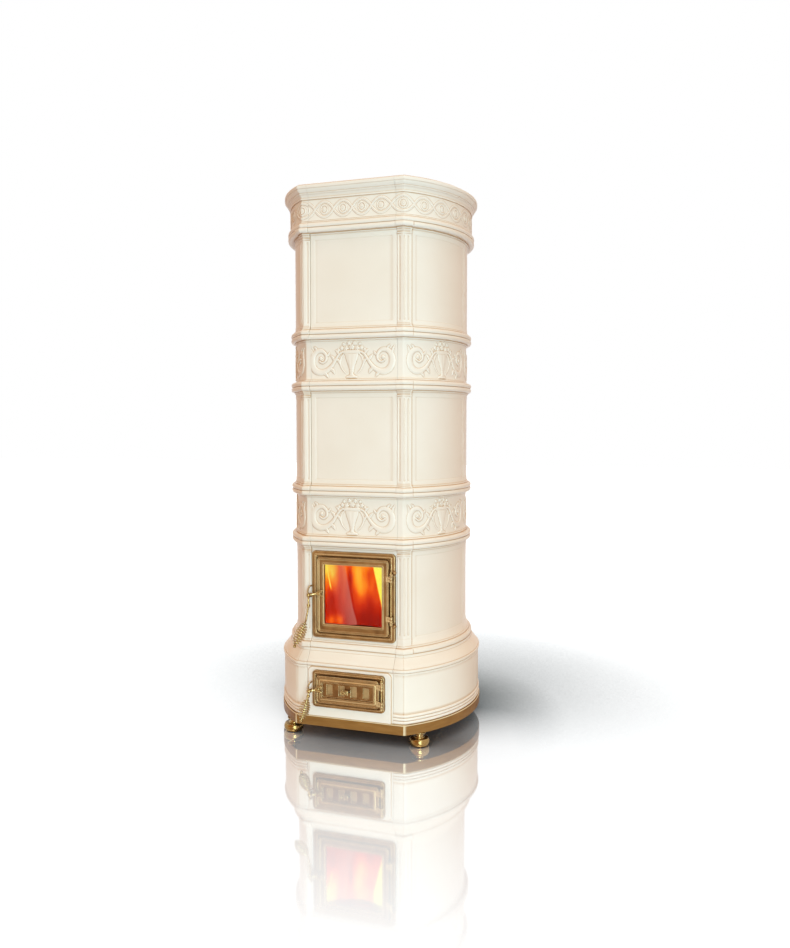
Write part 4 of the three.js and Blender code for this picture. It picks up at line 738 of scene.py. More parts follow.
FRIEZE_RISE = 4.6
DESIGN_STEP = 1.5
# Radius by height of the turned urn.
URN = ((28, 22), (33, 22), (35, 17), (39, 8), (46, 6), (50, 8.5), (53, 8.5), (56, 8), (70, 12), (84, 17.5),
       (98, 22), (108, 24.5), (113, 26), (116, 33), (121, 34), (124, 32), (126, 29))
# Half of the design: flowers above the urn as place, radius and number of petals.
FLOWERS = ((21, 133, 10, 5), (11, 151, 8, 5), (38, 135, 8, 5), (31, 148, 6, 5), (50, 128, 6, 4))
# The scroll goes out of the urn's lip, down, round the foot of the panel, up and in to its eye.
SCROLL = ((34, 121), (48, 112), (62, 92), (78, 70), (98, 54), (122, 49), (143, 59), (153, 82), (150, 107),
          (134, 124), (113, 125), (99, 111), (99, 93), (112, 83), (125, 89))
SCROLL_WIDTHS = (3.2, 4.2, 5.4, 7, 9, 11, 12, 12, 10.5, 8.5, 6.8, 5.4, 4.2, 3.4, 3)
# Leaves that curl off the scroll, as root, tip, width and bend.
LEAVES = (
    ((151, 92), (163, 142), 5.5, 4), ((112, 50), (90, 29), 6.0, -3), ((84, 62), (66, 43), 6.5, -4),
    ((66, 88), (82, 110), 5.5, 3), ((98, 108), (84, 122), 4.5, 3), ((58, 98), (46, 76), 5.0, -3),
    ((134, 126), (148, 142), 4.5, 3), ((50, 112), (64, 128), 5.0, 3),
)
GARLAND = ((28, 116), (40, 100), (44, 80), (36, 60), (22, 44))
GARLAND_WIDTHS = (2.2, 2.8, 3.0, 2.6, 2.0)


def frieze_design():
    """A footed urn of flowers between two leafy scrolls, on a grid about the middle of a panel."""
    u1 = np.arange(-168, 168.1, DESIGN_STEP)
    v1 = np.arange(24, 163.1, DESIGN_STEP)
    u, v = np.meshgrid(u1, v1, indexing="ij")
    rise = FRIEZE_RISE
    # the urn, with upright gadroons on its bowl
    half = np.interp(v, *zip(*URN), left=0, right=0)
    across = u / (half + 1e-6)
    urn = np.where((half > 0) & (np.abs(across) < 1), (0.35 + 0.65 * dome(across)) * rise * 1.05, 0)
    gadroon = np.abs(np.sin(np.arcsin(np.clip(across, -1, 1)) * 4))
    h = np.where((v > 57) & (v < 112), urn * (0.84 + 0.16 * gadroon), urn)
    for ring in (36, 49, 55, 114):
        h = h * nick(v - ring, 1.3, 0.3)
    flower(u, v, h, 0, 138, 12, 6, rise * 0.9)
    for sign in (-1, 1):
        def mirrored(points):
            return [(sign * x, y) for x, y in points]

        for x, y, radius, petals in FLOWERS:
            flower(u, v, h, sign * x, y, radius, petals, rise * 0.9)
        stroke(u, v, h, mirrored(SCROLL), SCROLL_WIDTHS, rise, 0.4)
        flower(u, v, h, sign * 119, 99, 8.5, 6, rise)
        for root, tip, width, bend in LEAVES:
            leaf(u, v, h, *mirrored([root, tip]), width, rise * 0.85, sign * bend)
        stroke(u, v, h, mirrored(GARLAND), GARLAND_WIDTHS, rise * 0.6)
    return u1, v1, h


def sample(grid, u, v):
    """Bilinear values of a design at points, nothing outside it."""
    u1, v1, h = grid
    fu = (u - u1[0]) / DESIGN_STEP
    fv = (v - v1[0]) / DESIGN_STEP
    inside = (fu >= 0) & (fu < len(u1) - 1) & (fv >= 0) & (fv < len(v1) - 1)
    i = np.clip(fu.astype(int), 0, len(u1) - 2)
    j = np.clip(fv.astype(int), 0, len(v1) - 2)
    a, b = fu - i, fv - j
    value = (h[i, j] * (1 - a) * (1 - b) + h[i + 1, j] * a * (1 - b)
             + h[i, j + 1] * (1 - a) * b + h[i + 1, j + 1] * a * b)
    return np.where(inside, value, 0)


RING_BOTTOM = 24.0
RING_TOP = 98.0
RIBBON_SWING = 26.5


def ring_relief(phase, pitch, t):
    """Two ribbons that cross between rosettes. phase counts rosettes, t is the height in the tile."""
    u = (phase - np.round(phase)) * pitch
    v = t - (RING_BOTTOM + RING_TOP) / 2
    turn = np.pi * u / pitch
    swing = RIBBON_SWING * np.sign(np.cos(turn)) * np.abs(np.cos(turn)) ** 0.85
    slope = np.abs(np.sin(turn)) * RIBBON_SWING * np.pi / pitch
    across = [np.abs(v - sign * swing) / np.sqrt(1 + slope ** 2) for sign in (-1, 1)]
    ribbons = [dome(d / 4.2) * 2.7 * nick(d, 1.0, 0.35) for d in across]
    d = np.hypot(u * 1.12, v)
    ring = dome((d - 15.0) / 2.6) * 2.2
    petals = 0.75 + 0.25 * np.cos(8 * np.arctan2(v, u * 1.12))
    relief = highest(*ribbons, ring, dome(d / 10.5) * 2.6 * petals, dome(d / 3.4) * 3.0)
    return relief * ease(t, RING_BOTTOM - 1, RING_BOTTOM + 2) * (1 - ease(t, RING_TOP - 2, RING_TOP + 1))


FRONT_PITCH = 71.0
CORNER_ROSE = 109.0
SIDE_PITCH = ARC / 9
# Height and reach of the cornice above its belt: the band for the rings and a stepped crown.
CROWN = ((0, 14), (99, 14), (99.4, 17.8), (104.5, 17.8), (105, 15.6), (109, 16.4), (113, 18.6), (117.5, 22.2),
         (118, 24.4), (121.5, 24.4), (122, 25.6), (126, 29.4), (130, 32.2), (135.5, 34.2), (136, 36.4),
         (144.5, 36.8), (146, 36.0), (147, 31.5), (149.5, 30.0), (152, 25.5))
CORNICE_ROWS = [0, 0.6, 1.4, 2.5, 4, 6, 8, 10, 12, 13.5, 14.8, 15.8, 16.5, 16.9, 17.3, 21.4, 21.9, 99, 99.4,
                102, 104.5, 105, 109, 111, 113, 115.5, 117.5, 118, 121.5, 122, 124, 126, 128, 130, 132.5,
                135.5, 136, 140, 144.5, 146, 147, 149.5, 151, 152]


def cornice_rows(t):
    fillet = np.where(t < 21.5, 18.0, NOWHERE)
    return highest(torus(t, TOP_BELT_REACH), fillet, np.interp(t, *zip(*CROWN)))


# ------------------------------------------------------------------ tile courses

DESIGN = frieze_design()
# The middle of each tile's panel.
PANELS = {"front": -8.0, "side_front": ARC / 4, "side_rear": 3 * ARC / 4}


def end_marks(*places):
    """Stations close to an upright edge."""
    return [p + k for p in places for k in (-3.2, -1.6, -0.8, -0.3, 0.3, 0.8, 1.6, 3.2)]


def course_heights(kind, low, high):
    """The heights at which a course's faces are worked out."""
    if kind == "cornice":
        return spread([low + r for r in CORNICE_ROWS], low, high, 1.6)
    belts = [high - r for r in BELT_ROWS] + [low + r for r in (FOOT_ROWS if kind == "foot" else BELT_ROWS)]
    if kind == "frieze":
        return spread(belts, low, high, 1.7)
    below = FOOT_BORDER if kind == "foot" else BELT_BORDER
    borders = [place + k for place in (low + below, high - HEAD_BORDER - 4) for k in range(5)]
    flute_ends = [place + k for place in (low + 40, low + 62, high - 46)
                  for k in (-5, -3.5, -2, -1, 0, 1, 2, 3.5, 5)]
    necks = [high - 36 - k for k in (0, 0.6, 1.2, 2, 2.8, 3.4, 4)]
    return spread(belts + borders + flute_ends + necks, low, high, 9.0)


def course_stations(kind, part):
    """The places along the plan at which a tile's face is worked out."""
    start, end, corners = SPANS[part]
    if kind in ("frieze", "cornice"):
        ends = (start,) if part == "side_rear" else (start, end)
        return spread(end_marks(*corners, *ends), start, end, 1.7 if part == "front" else 1.9)
    marks = end_marks(*corners, start, end)
    if part == "side_front":
        marks += PILASTER_S
    borders = [BORDER + k for k in range(5)]
    marks += [field_start(part) + b for b in borders] + [end - b for b in borders]
    return spread(marks, start, end, 14 if part == "front" else 7.0)


def field_start(part):
    return PILASTER_END if part == "side_front" else SPANS[part][0]


def course_reach(name, kind, part, s, z):
    """How far a tile's face stands out."""
    start, end, corners = SPANS[part]
    up, down = z - z[0], z[-1] - z
    seams = {"front": (), "side_front": (end,), "side_rear": (start,)}[part]
    if kind == "frieze":
        rows = highest(belt(up, BELT_REACH, -4.0), belt(down, BELT_REACH, -4.0))
        reach = rows + sample(DESIGN, s[:, None] - PANELS[part], up)
        if part == "side_front":
            block = (s <= BLOCK_END)[:, None] & ((up < TORUS_END) | (down < TORUS_END))
            reach = np.where(block, reach + BLOCK_RISE, reach)
    elif kind == "cornice":
        phase = s / SIDE_PITCH
        if part == "front":
            phase = np.interp(s, (CORNER_ROSE - 5 * FRONT_PITCH, CORNER_ROSE, HALF), (-6, -1, 0))
        elif part == "side_front":
            phase = np.where(s < 0, s / (HALF - CORNER_ROSE), phase)
        pitch = FRONT_PITCH if part == "front" else SIDE_PITCH
        reach = cornice_rows(up) + ring_relief(phase[:, None], pitch, up)
    else:
        head = TOP_BELT_REACH if name == "upper" else BELT_REACH
        reach = plain_reach(s, z, head, field_start(part), end, kind == "foot")
        if part == "side_front":
            reach = pilaster(s, z, reach, kind == "foot")
        seams = (start, end)
    return soften(reach, s, seams, corners)


fire_z = node_middle("fire_door_frame")[2]
FIRE_HOLE = 132.0
for name, kind in (("lower_frieze", "frieze"), ("middle", "plain"), ("upper_frieze", "frieze"),
                   ("upper", "plain"), ("cornice", "cornice"), ("firebox", "foot")):
    z = course_heights(kind, *node_z(f"{name}_front"))
    for part in SPANS:
        s = course_stations(kind, part)
        piece = show_tile(name, part, s, z, course_reach(name, kind, part, s, z))
        if name == "firebox" and part == "front":
            cut_box(piece, (-FIRE_HOLE, -40, fire_z - FIRE_HOLE), (FIRE_HOLE, 90, fire_z + FIRE_HOLE))

# ------------------------------------------------------------------ base, cap, plinth

BASE_REACH = 49.0
SOFT_CORNER = 38.0
RIB_PITCH = 11.2
RIB_SHARES = (0, 0.02, 0.07, 0.16, 0.3, 0.5, 0.7, 0.84, 0.93, 0.98, 1)
HEAD_BEAD = (174.5, 182.6)
PANEL_HALF = 157.5
PANEL_CORNER = 15.0
ASH_HOLE = (112.0, 41.0)


def soft_marks(*places):
    """Stations across the wide rounding of the base's corner."""
    return [place + 1.6 * k for place in places for k in range(-11, 12)]


def base_reach(t):
    """Upright face with three round ribs at its foot and a small bead at its head."""
    starts = [2 + RIB_PITCH * k for k in range(3)]
    ribs = [swell(t, start, start + 11, BASE_REACH - 0.5, BASE_REACH + 4.0) for start in starts]
    return highest(*ribs, swell(t, *HEAD_BEAD, BASE_REACH - 0.5, BASE_REACH + 1.6), BASE_REACH)


def base_rows():
    ribs = [2 + RIB_PITCH * k + 11 * share for k in range(3) for share in RIB_SHARES]
    return ribs + [174.5, 174.7, 175.4, 176.6, 178.5, 180.4, 181.6, 182.3]


def show_base():
    low, high = node_z("base_front")
    z = spread([low + r for r in base_rows()], low, high, 12)
    for part in ("side_front", "side_rear"):
        start, end, corners = SPANS[part]
        s = spread(end_marks(*corners), start, end, 9)
        s = spread([*s, *end_marks(start, end), *soft_marks(*corners)], s[0], s[-1], 9)
        reach = soften(base_reach(z - low), s, (start, end), corners, radius=SOFT_CORNER)
        show_tile("base", part, s, z, reach, BASE_REACH)
    # the front tile's raised panel with round top corners
    inner, top = PANEL_HALF - PANEL_CORNER, high - 4.0 - PANEL_CORNER
    round_ = [PANEL_CORNER * math.sin(k * math.pi / 24) for k in range(13)]
    marks = [inner + r for r in round_] + [PANEL_HALF + k for k in (0.4, 1.0, 1.6)]
    s = spread([*marks, *[-mark for mark in marks], *end_marks(-EDGE, EDGE)], -EDGE, EDGE, 12)
    ledges = [high - 3.6, high - 3.0, low + 0.5, low + 1.2]
    z = spread([*[top + r for r in round_], *ledges], low, high, 12)
    across, up = np.clip(np.abs(s)[:, None] - inner, 0, None), np.clip(z - top, 0, None)
    past = np.hypot(across, up) - PANEL_CORNER
    reach = soften(BASE_REACH + 5.0 * (1 - ease(past, -1.2, 0.9)), s, (-EDGE, EDGE))
    reach = np.where(past > 0.9, highest(reach, base_reach(z - low) - 1.5), reach)
    front = show_tile("base", "front", s, z, reach, BASE_REACH)
    rise = node_middle("ash_door_frame")[2]
    half_x, half_z = ASH_HOLE
    cut_box(front, (-half_x, -80, rise - half_z), (half_x, 20, rise + half_z))


show_base()


def cap_reach(t):
    points = [(0, 49.5), (1.2, 51.6), (3.5, 52.8), (8, 53), (10, 52.4), (11, 51), (11.4, 48.5), (14, 48.2),
              (14.4, 46.6), (20, 43.8), (26, 39.4), (32, 34.2), (38, 29.4), (43, 26.2), (47, 24.4),
              (47.4, 22.6), (53, 22.2), (59.6, 22)]
    return np.interp(t, *zip(*points))


CAP_ROWS = [0, 0.6, 1.2, 2.2, 3.5, 5.5, 8, 10, 11, 11.4, 14, 14.4, 17, 20, 23, 26, 29, 32, 35, 38, 40.5, 43,
            45, 47, 47.4, 50, 53, 56, 59, 59.6]


def show_cap():
    low, high = node_z("cap_front")
    z = spread([low + r for r in CAP_ROWS], low, high, 5)
    for part, (start, end, corners) in SPANS.items():
        marks = end_marks(start, end) + soft_marks(*corners)
        s = spread(marks, start, end, 30 if part == "front" else 8)
        reach = soften(cap_reach(z - low), s, (start, end), corners, size=0.8, radius=SOFT_CORNER)
        show_tile("cap", part, s, z, reach)


show_cap()


def loop_plan(reach):
    """The whole plan as a closed line at one reach."""
    near = [place + k for place in (0.0, ARC) for k in (-1.6, -0.6, 0.6, 1.6)]
    s = spread(near, -TURN, ARC + TURN, 9.0)
    x, y = plan_right(s, reach - np.exp(-(s / 1.6) ** 2) - np.exp(-((s - ARC) / 1.6) ** 2))
    right = np.stack([x, y], axis=1)
    return np.concatenate([right, right[::-1] * [-1, 1]])


def show_plinth():
    low, _ = node_z("plinth")
    section = [(51.0, 32.6), (51.0, 0), (54.0, 0), (54.8, 0.6), (55.0, 1.6), (55.0, 32.6), (55.0, 34.0),
               (54.8, 35.2), (54.0, 36.0), (52.6, 36.6)]
    rings, ridge = [], []
    for reach, height in section:
        plan = loop_plan(reach)
        rings.append(np.column_stack([plan, np.full(len(plan), low + height)]))
        # The ridge layer marks the corner line and the top bead, where the gilt paint gets a painted
        # highlight.
        corner = plan_right(0.0, reach)[0]
        at_corner = np.abs(np.abs(plan[:, 0]) - corner) < 3.0
        ridge.append(at_corner | (34.0 <= height <= 36.0))
    layers = {"ridge": ridge, "recess": np.zeros(np.shape(ridge))}
    show("plinth_skirt", rings, "gilt_steel", replaces="plinth", layers=layers)


show_plinth()

# ------------------------------------------------------------------ turned and bent pieces


def unit(vector):
    return vector / np.linalg.norm(vector)


def lathe(name, profile, centre, slot, body="stove", axis="z", sides=48, **options):
    """A turned piece from pairs of radius and height."""
    radius, height = np.array(profile, float).T[:, :, None]
    a = np.linspace(0, 2 * math.pi, sides, endpoint=False)
    rings = np.stack([radius * np.cos(a), radius * np.sin(a), height + 0 * a], axis=-1)
    if axis == "y":
        rings = rings[..., [0, 2, 1]] * [1, -1, 1]
    show(name, rings, slot, body, centre, **options)


def ball(name, radius, centre, slot, body, sides, rings):
    turns = np.linspace(0.02, math.pi - 0.02, rings)
    profile = [(max(radius * math.sin(a), 0.1), -radius * math.cos(a)) for a in turns]
    lathe(name, profile, centre, slot, body, sides=sides)


def tube(name, path, radii, slot, body, place, sides=16, replaces=None):
    """A round bar along a path."""
    path = np.asarray(path, float)
    a = np.linspace(0, 2 * math.pi, sides, endpoint=False)[:, None]
    tangents = [unit(tangent) for tangent in np.gradient(path, axis=0)]
    normal = np.cross(tangents[0], (0.3, 0.5, 0.8))
    rings = []
    for point, tangent, radius in zip(path, tangents, np.broadcast_to(radii, len(path))):
        normal = unit(normal - tangent * np.dot(normal, tangent))
        rings.append(point + radius * (np.cos(a) * normal + np.sin(a) * np.cross(tangent, normal)))
    show(name, rings, slot, body, place, replaces, angle=50)


def show_feet():
    turns = np.linspace(0.15, math.pi - 0.75, 18)
    bun = [(24 + 13.0 * math.sin(a), 17 - 17 * math.cos(a)) for a in turns]
    for corner in ("front_left", "front_right", "rear_left", "rear_right"):
        node = f"foot_{corner}"
        x, y, _ = node_middle(node)
        top = node_z(node)[1]
        profile = [(0.2, 0), (23.0, 0), (25.5, 0.4), *bun, (20.5, 31.0), (19.0, 31.6), (18.6, 33.2),
                   (17.0, 34.0), (14.8, 36.0), (14.0, 38.5), (14.6, 41.0), (16.8, 43.4), (20.5, 45.6),
                   (23.4, 47.0), (23.8, 48.2), (23.6, 49.6), (8, 49.7), (8, top), (0.2, top)]
        lathe(f"bun_foot_{corner}", profile, (x, y, 0), "polished_brass", replaces=node)


show_feet()

# ------------------------------------------------------------------ doors

FRAME_CORNER = 14.0
HINGE_DEPTH = -26.0
KNUCKLE_HALF = 10.0


def door_ring(half_x, half_z, corner, y, lift=0.0, steps=7):
    """A rounded rectangle of points about the middle of a door."""
    points = []
    for quarter, (side_x, side_z) in enumerate(((1, 1), (-1, 1), (-1, -1), (1, -1))):
        for k in range(steps + 1):
            angle = (quarter + k / steps) * math.pi / 2
            points.append((side_x * (half_x - corner) + corner * math.cos(angle), y,
                           side_z * (half_z - corner) + corner * math.sin(angle) + lift))
    return points


def moulded(half_x, half_z, section):
    """Rings of a door's outline from pairs of inset and depth."""
    return [door_ring(half_x - inset, half_z - inset, max(FRAME_CORNER - inset, 2.5), y)
            for inset, y in section]


def casting(name, rings, place, body, replaces, closed=True):
    """A moulded ring of a door, or a plate if it isn't closed."""
    return show(name, rings, "antique_brass", body, place, replaces, angle=40, closed=closed)


def bead(start, end, base, rise, steps=7):
    """Insets and depths of a half-round bead from start to end."""
    return [(start + (end - start) * (1 - math.cos(math.pi * k / steps)) / 2,
             base - rise * math.sin(math.pi * k / steps)) for k in range(steps + 1)]


def show_frame(prefix, place, half_x, half_z, border, throat):
    """The fixed frame: a rounded outer edge, a flat face with a fine bead, and the rebate."""
    section = [
        (0, -0.2), (0, -8.6), (0.5, -10.2), (1.6, -11.5), (3.2, -12.0), (border - 7.6, -12.0),
        *bead(border - 7.4, border - 3.4, -11.9, 1.1), (border - 2.6, -11.4), (border - 1.2, -9.6),
        (border, -5.0), (throat, -5.0), (throat, 49.6), (throat - 5, 49.6), (throat - 5, -0.2),
    ]
    rings = moulded(half_x, half_z, section)
    casting(f"{prefix}_frame_casting", rings, place, "stove", f"{prefix}_door_frame")


def show_hinge(prefix, place, x, rise, half_x, balls):
    """Ringed lugs on the frame and ringed knuckles on the leaf, with their straps."""
    half = KNUCKLE_HALF - 0.2
    below = [(0.1, -half), (5.6, -half), (6.3, 0.6 - half), (6.3, 2.6 - half), (5.0, 3.4 - half),
             (4.6, -5.0), (5.6, -3.6)]
    knuckle = [*below, (5.9, 0), *[(r, -h) for r, h in reversed(below)]]
    strap = [(x - 22.5, -17.2), (x - 22.5, -19.5), (x - 20, -21.8), (x - 12, -23.6), (x - 4, -28.4),
             (x, -28.4), (x, -23.5), (x - 6, -17.2)]
    strap_rows = ((-9.6, 0.86), (-8.2, 1.0), (-3.4, 1.0), (-2.6, 0.9), (2.6, 0.9), (3.4, 1.0), (8.2, 1.0),
                  (9.6, 0.86))
    lug = [(0.1, 0), (5.6, 0), (6.3, 0.6), (6.3, 2.4), (4.8, 3.4), (4.8, 5.6), (6.3, 6.8), (6.3, 9.2),
           (5.4, 10), (0.1, 10)]
    root = [(x - 2, -27), (x + 6, -25.5), (half_x - 1.2, -11.2), (half_x - 1.2, -10.4), (x - 2, -10.8)]
    low = rise + KNUCKLE_HALF + 0.5
    pin = place + (x, HINGE_DEPTH, 0)
    leaf_body = f"{prefix}_door"
    for up, name in ((1, "upper"), (-1, "lower")):
        above = np.array((0, 0, up * rise))
        lathe(f"{prefix}_knuckle_{name}", knuckle, pin + above, "antique_brass", leaf_body, sides=24)
        rings = [[(px, -17.2 + (py + 17.2) * share, z) for px, py in strap] for z, share in strap_rows]
        show(f"{prefix}_strap_{name}", rings, "antique_brass", leaf_body, place + above)
        # the lug beyond the knuckle, turned too, and its root on the frame
        turned = [(r, up * (low + h)) for r, h in lug]
        lathe(f"{prefix}_lug_{name}", turned, pin, "antique_brass", sides=24)
        rings = [[(px, py, up * (low + h)) for px, py in root] for h in (1.2, 8.8)]
        show(f"{prefix}_lug_root_{name}", rings, "antique_brass", place=place)
        if balls:
            centre = pin + (10.1, 7.5, up * (low + 13.75))
            ball(f"{prefix}_lug_ball_{name}", 7.5, centre, "antique_brass", "stove", 24, 17)


def show_keeper(prefix, pivot, handle, place):
    """The crescent that the latch's tongue swings in, and its foot under the tongue."""
    x, z = pivot
    reach = math.hypot(handle[0] - x, handle[2] - z)
    rest = math.pi + math.atan2(z - handle[2], x - handle[0])
    middle = reach + 8.75
    end = rest + math.asin(4.5 / reach) + 0.2 / reach + 0.1

    def around(angle, y, radius=middle):
        return x + radius * math.cos(angle), y, z + radius * math.sin(angle)

    bow = [around(a, -30.2) for a in np.linspace(rest - 0.75, end, 18)]
    first = [around(rest - 0.75, y) for y in (-11.2, -20.0, -27.5)]
    last = [around(end, y, middle - k) for k, y in ((1.5, -29.0), (4.0, -24.0), (6.0, -17.0), (6.5, -11.2))]
    route = catmull([*first, *bow, *last], 3)
    tube(f"{prefix}_keeper_bow", route, 2.7, "antique_brass", "stove", place, sides=14)


LATCH_MIDDLE = -28.2
TIP = 5.6
WIRE = 1.9
COIL_TURNS = 9
COIL_END = 5.3
COIL_HALF = 20.0


def show_latch(prefix, pivot, handle, place):
    """The forked latch: its boss, arm and prongs, its ball, neck and bent rod, and the coil round it."""
    top, neck, start, end = np.array(handle, float)
    body = f"{prefix}_latch"

    def bar(part, path, radii, sides=16):
        tube(f"{body}_{part}", path, radii, "polished_brass", body, place, sides)

    def knob(part, radius, centre, sides, rings):
        ball(f"{body}_{part}", radius, centre + place, "polished_brass", body, sides, rings)

    boss = [(3.3, 22.2), (8.2, 22.2), (9.0, 23.0), (9.0, 25.2), (7.6, 26.4), (7.2, 29.6), (8.4, 31.4),
            (8.4, 33.2), (7.4, 34.0), (3.3, 34.0)]
    lathe(f"{body}_boss", boss, place + (pivot[0], 0, pivot[1]), "polished_brass", body, "y", 32,
          closed=True, replaces=body)
    hub = np.array((pivot[0], LATCH_MIDDLE, pivot[1]))
    arm = np.linspace(hub + 5 * unit(top - hub), top, 9)
    bar("arm", arm, [4.6, 3.8, 3.4, 3.6, 4.6, 3.8, 3.6, 4.2, 5.0])
    for up, name in ((1, "upper"), (-1, "lower")):
        prong = catmull([hub + (5.5, 0, up * 5.5), hub + (8.5, -1.5, up * 7.5), hub + (13, -1.5, up * 10.5),
                         hub + (15.5, 0, up * 9.0)], 5)
        bar(f"prong_{name}", prong, np.interp(np.linspace(0, 1, len(prong)), [0, 0.6, 1], [3.4, 2.6, 2.2]))
    knob("ball", 8, top, 28, 19)
    bar("tongue", [top + (0, 2, 0), (top[0], -22.4, top[2])], 4.4)
    bar("neck", np.linspace(top, neck, 12), [5.0, 5.4, 4.2, 3.4, 3.2, 3.4, 4.0, 3.4, 3.2, 4.2, 5.6, 5.8])
    knob("collar", 6.4, neck, 24, 15)
    bar("rod", catmull([neck, start, end], 14), 3.2, sides=14)
    knob("tip", TIP, end, 24, 15)
    axis = unit(end - start)
    side = unit(np.cross((1, 0, 0), axis))
    run = np.linalg.norm(end - start) - TIP - WIRE
    share = np.linspace(0, 1, COIL_TURNS * 24 + 1)[:, None]
    radius = COIL_END + (COIL_HALF - WIRE - COIL_END) * np.clip(np.sin(np.pi * share), 0, None) ** 0.7
    angle = 2 * np.pi * COIL_TURNS * share
    round_ = side * np.cos(angle) + np.cross(axis, side) * np.sin(angle)
    coil = start + axis * run * share + radius * round_
    tube(f"{prefix}_grip_wire", coil, WIRE, "polished_brass", body, place, 10, f"{prefix}_latch_grip")


def show_pad(prefix, pivot, place):
    """The leaf's boss under the latch."""
    profile = ((3.3, 8.6), (3.3, 21.8), (8.2, 21.8), (9.0, 21.0), (9.0, 19.4), (8.2, 17.4), (8.2, 8.6))
    centre = place + (pivot[0], 0, pivot[1])
    lathe(f"{prefix}_latch_pad", profile, centre, "antique_brass", f"{prefix}_door", "y", 32, closed=True)


LEAF_EDGE = ((0, -5.5), (0, -17.0), (0.3, -18.0))


def show_fire_leaf(place, half=138.5, window=(111.5, 109.0), lift=2.5):
    """The leaf: a round bead at its edge, a hollow band and a bright lip round the glass."""
    edge = [*LEAF_EDGE, *bead(0.6, 6.6, -18.2, 2.8), (7.0, -17.4), (8.4, -16.4), (11.0, -16.1), (16.0, -16.0)]
    lip = [(8.5, -15.9), (7.2, -15.6), (6.4, -15.6), *[(7.0 - i, y) for i, y in bead(1.0, 6.0, -15.8, 2.3)],
           (0.5, -15.8), (0, -15.2), (0, -10.2), (6.0, -10.2), (6.0, -5.5)]
    rings = moulded(half, half, edge)
    rings += [door_ring(window[0] + grow, window[1] + grow, 4.0, y, lift) for grow, y in lip]
    rings += moulded(half, half, [(11, -5.5), (11, -8.6), (6, -8.6), (6, -5.5)])
    casting("fire_leaf_casting", rings, place, "fire_door", "fire_door_leaf")


def show_ash_leaf(place, half_x=121.0, half_z=50.0):
    """The ash leaf: two beads and a sunk field with four windows, a slot and the slide's channel."""
    section = [*LEAF_EDGE, *bead(0.6, 7.0, -18.2, 2.8), (7.4, -17.5), (15.6, -17.3),
               *bead(16.0, 23.4, -17.6, 3.3), (24.0, -15.6), (24.6, -13.5)]
    rings = moulded(half_x, half_z, section)
    plate = casting("ash_leaf_casting", rings, place, "ash_door", "ash_door_leaf", closed=False)
    _, y, z = place
    lefts = [(k - 1.5) * 46.7 - 11 for k in range(4)]
    holes = [(left, left + 22, 20, 4, 19) for left in lefts]
    holes += [(-10.4, 10.4, 20, 4, 2.9), (-102.6, 99.6, 9.4, 7.0, 25.5), (-102.6, 99.6, 9.4, 4, 22)]
    for left, right, front, back, half in holes:
        cut_box(plate, (left, y - front, z - half), (right, y - back, z + half))


def show_knob(place):
    """The slide's knob: a shank, a washer and a double curl."""
    x = node_middle("vent_knob")[0]
    place = place + (x, 0, 0)
    shank = [(0.1, 9.3), (2.3, 9.3), (2.3, 14.2), (6.3, 14.2), (6.3, 15.8), (5.2, 16.4), (2.8, 16.9),
             (2.3, 20), (2.3, 27.5), (0.1, 27.5)]
    lathe("knob_shank", shank, place, "polished_brass", "vent", "y", 20, replaces="vent_knob")
    t = np.linspace(0, 2 * math.pi, 61)
    curl = np.stack([13.0 * np.sin(t), -27.0 + 1.5 * np.cos(t), 6.4 * np.sin(2 * t)], axis=1)
    tube("knob_curl", curl, 2.5, "polished_brass", "vent", place, 12)
    for side, name in ((-1, "left"), (1, "right")):
        ball(f"knob_eye_{name}", 3.2, place + (side * 8.6, -27.0, 0), "polished_brass", "vent", 18, 13)


fire_place = np.array((0.0, 0.0, fire_z))
ash_place = np.array((0.0, -54.0, node_middle("ash_door_frame")[2]))
# Each latch's pivot, and the ball, neck, start and end of its handle.
FIRE_PIVOT = (-127.0, 7.5)
ASH_PIVOT = (-109.5, 3.0)
FIRE_HANDLE = ((-160, -45, 1.5), (-160, -46, -38), (-163, -70.5, -97.5), (-178, -127.5, -168.5))
ASH_HANDLE = ((-137, -43, -1.5), (-137, -50, -18), (-138, -58.5, -28), (-150, -84, -98))
show_frame("fire", fire_place, half_x=160.5, half_z=160.5, border=20.5, throat=35.0)
show_frame("ash", ash_place, half_x=138.0, half_z=67.0, border=15.5, throat=27.0)
show_fire_leaf(fire_place)
show_ash_leaf(ash_place)
for door, pivot, handle, place in (("fire", FIRE_PIVOT, FIRE_HANDLE, fire_place),
                                   ("ash", ASH_PIVOT, ASH_HANDLE, ash_place)):
    show_pad(door, pivot, place)
    show_keeper(door, pivot, handle[0], place)
    show_latch(door, pivot, handle, place)
show_hinge("fire", fire_place, x=150.0, rise=72.0, half_x=160.5, balls=True)
show_hinge("ash", ash_place, x=132.5, rise=30.0, half_x=138.0, balls=False)
show_knob(ash_place)


def show_fire():
    """A bowed sheet of flames: it starts inside the throat and swings back into the firebox."""
    low, high = node_z("fire_door_glass")
    route = catmull([(-124, 5), (-112, 22), (-70, 60), (0, 84), (70, 70), (112, 38), (124, 20)], 6)
    rows = np.linspace(low - 14, high + 14, 7)
    rings = [[(x, y, z) for z in rows] + [(x * 0.99, y + 2, z) for z in rows[::-1]] for x, y in route]
    show("flames", rings, "fire_glass", material=flame())


show_fire()

# ------------------------------------------------------------------ finish on the solids that stay

SLOT_OF = {p["node"]: p["material_slot"] for p in frame["record"]["subparts"]}
# The vent slide takes the paler brass, with its painted reflection of the room.
pale_plate = pale_brass()
for node_name, node in nodes.items():
    node.data.materials.clear()
    node.data.materials.append(pale_plate if node_name == "vent_slide" else MATERIALS[SLOT_OF[node_name]])

# ------------------------------------------------------------------ room, light, camera

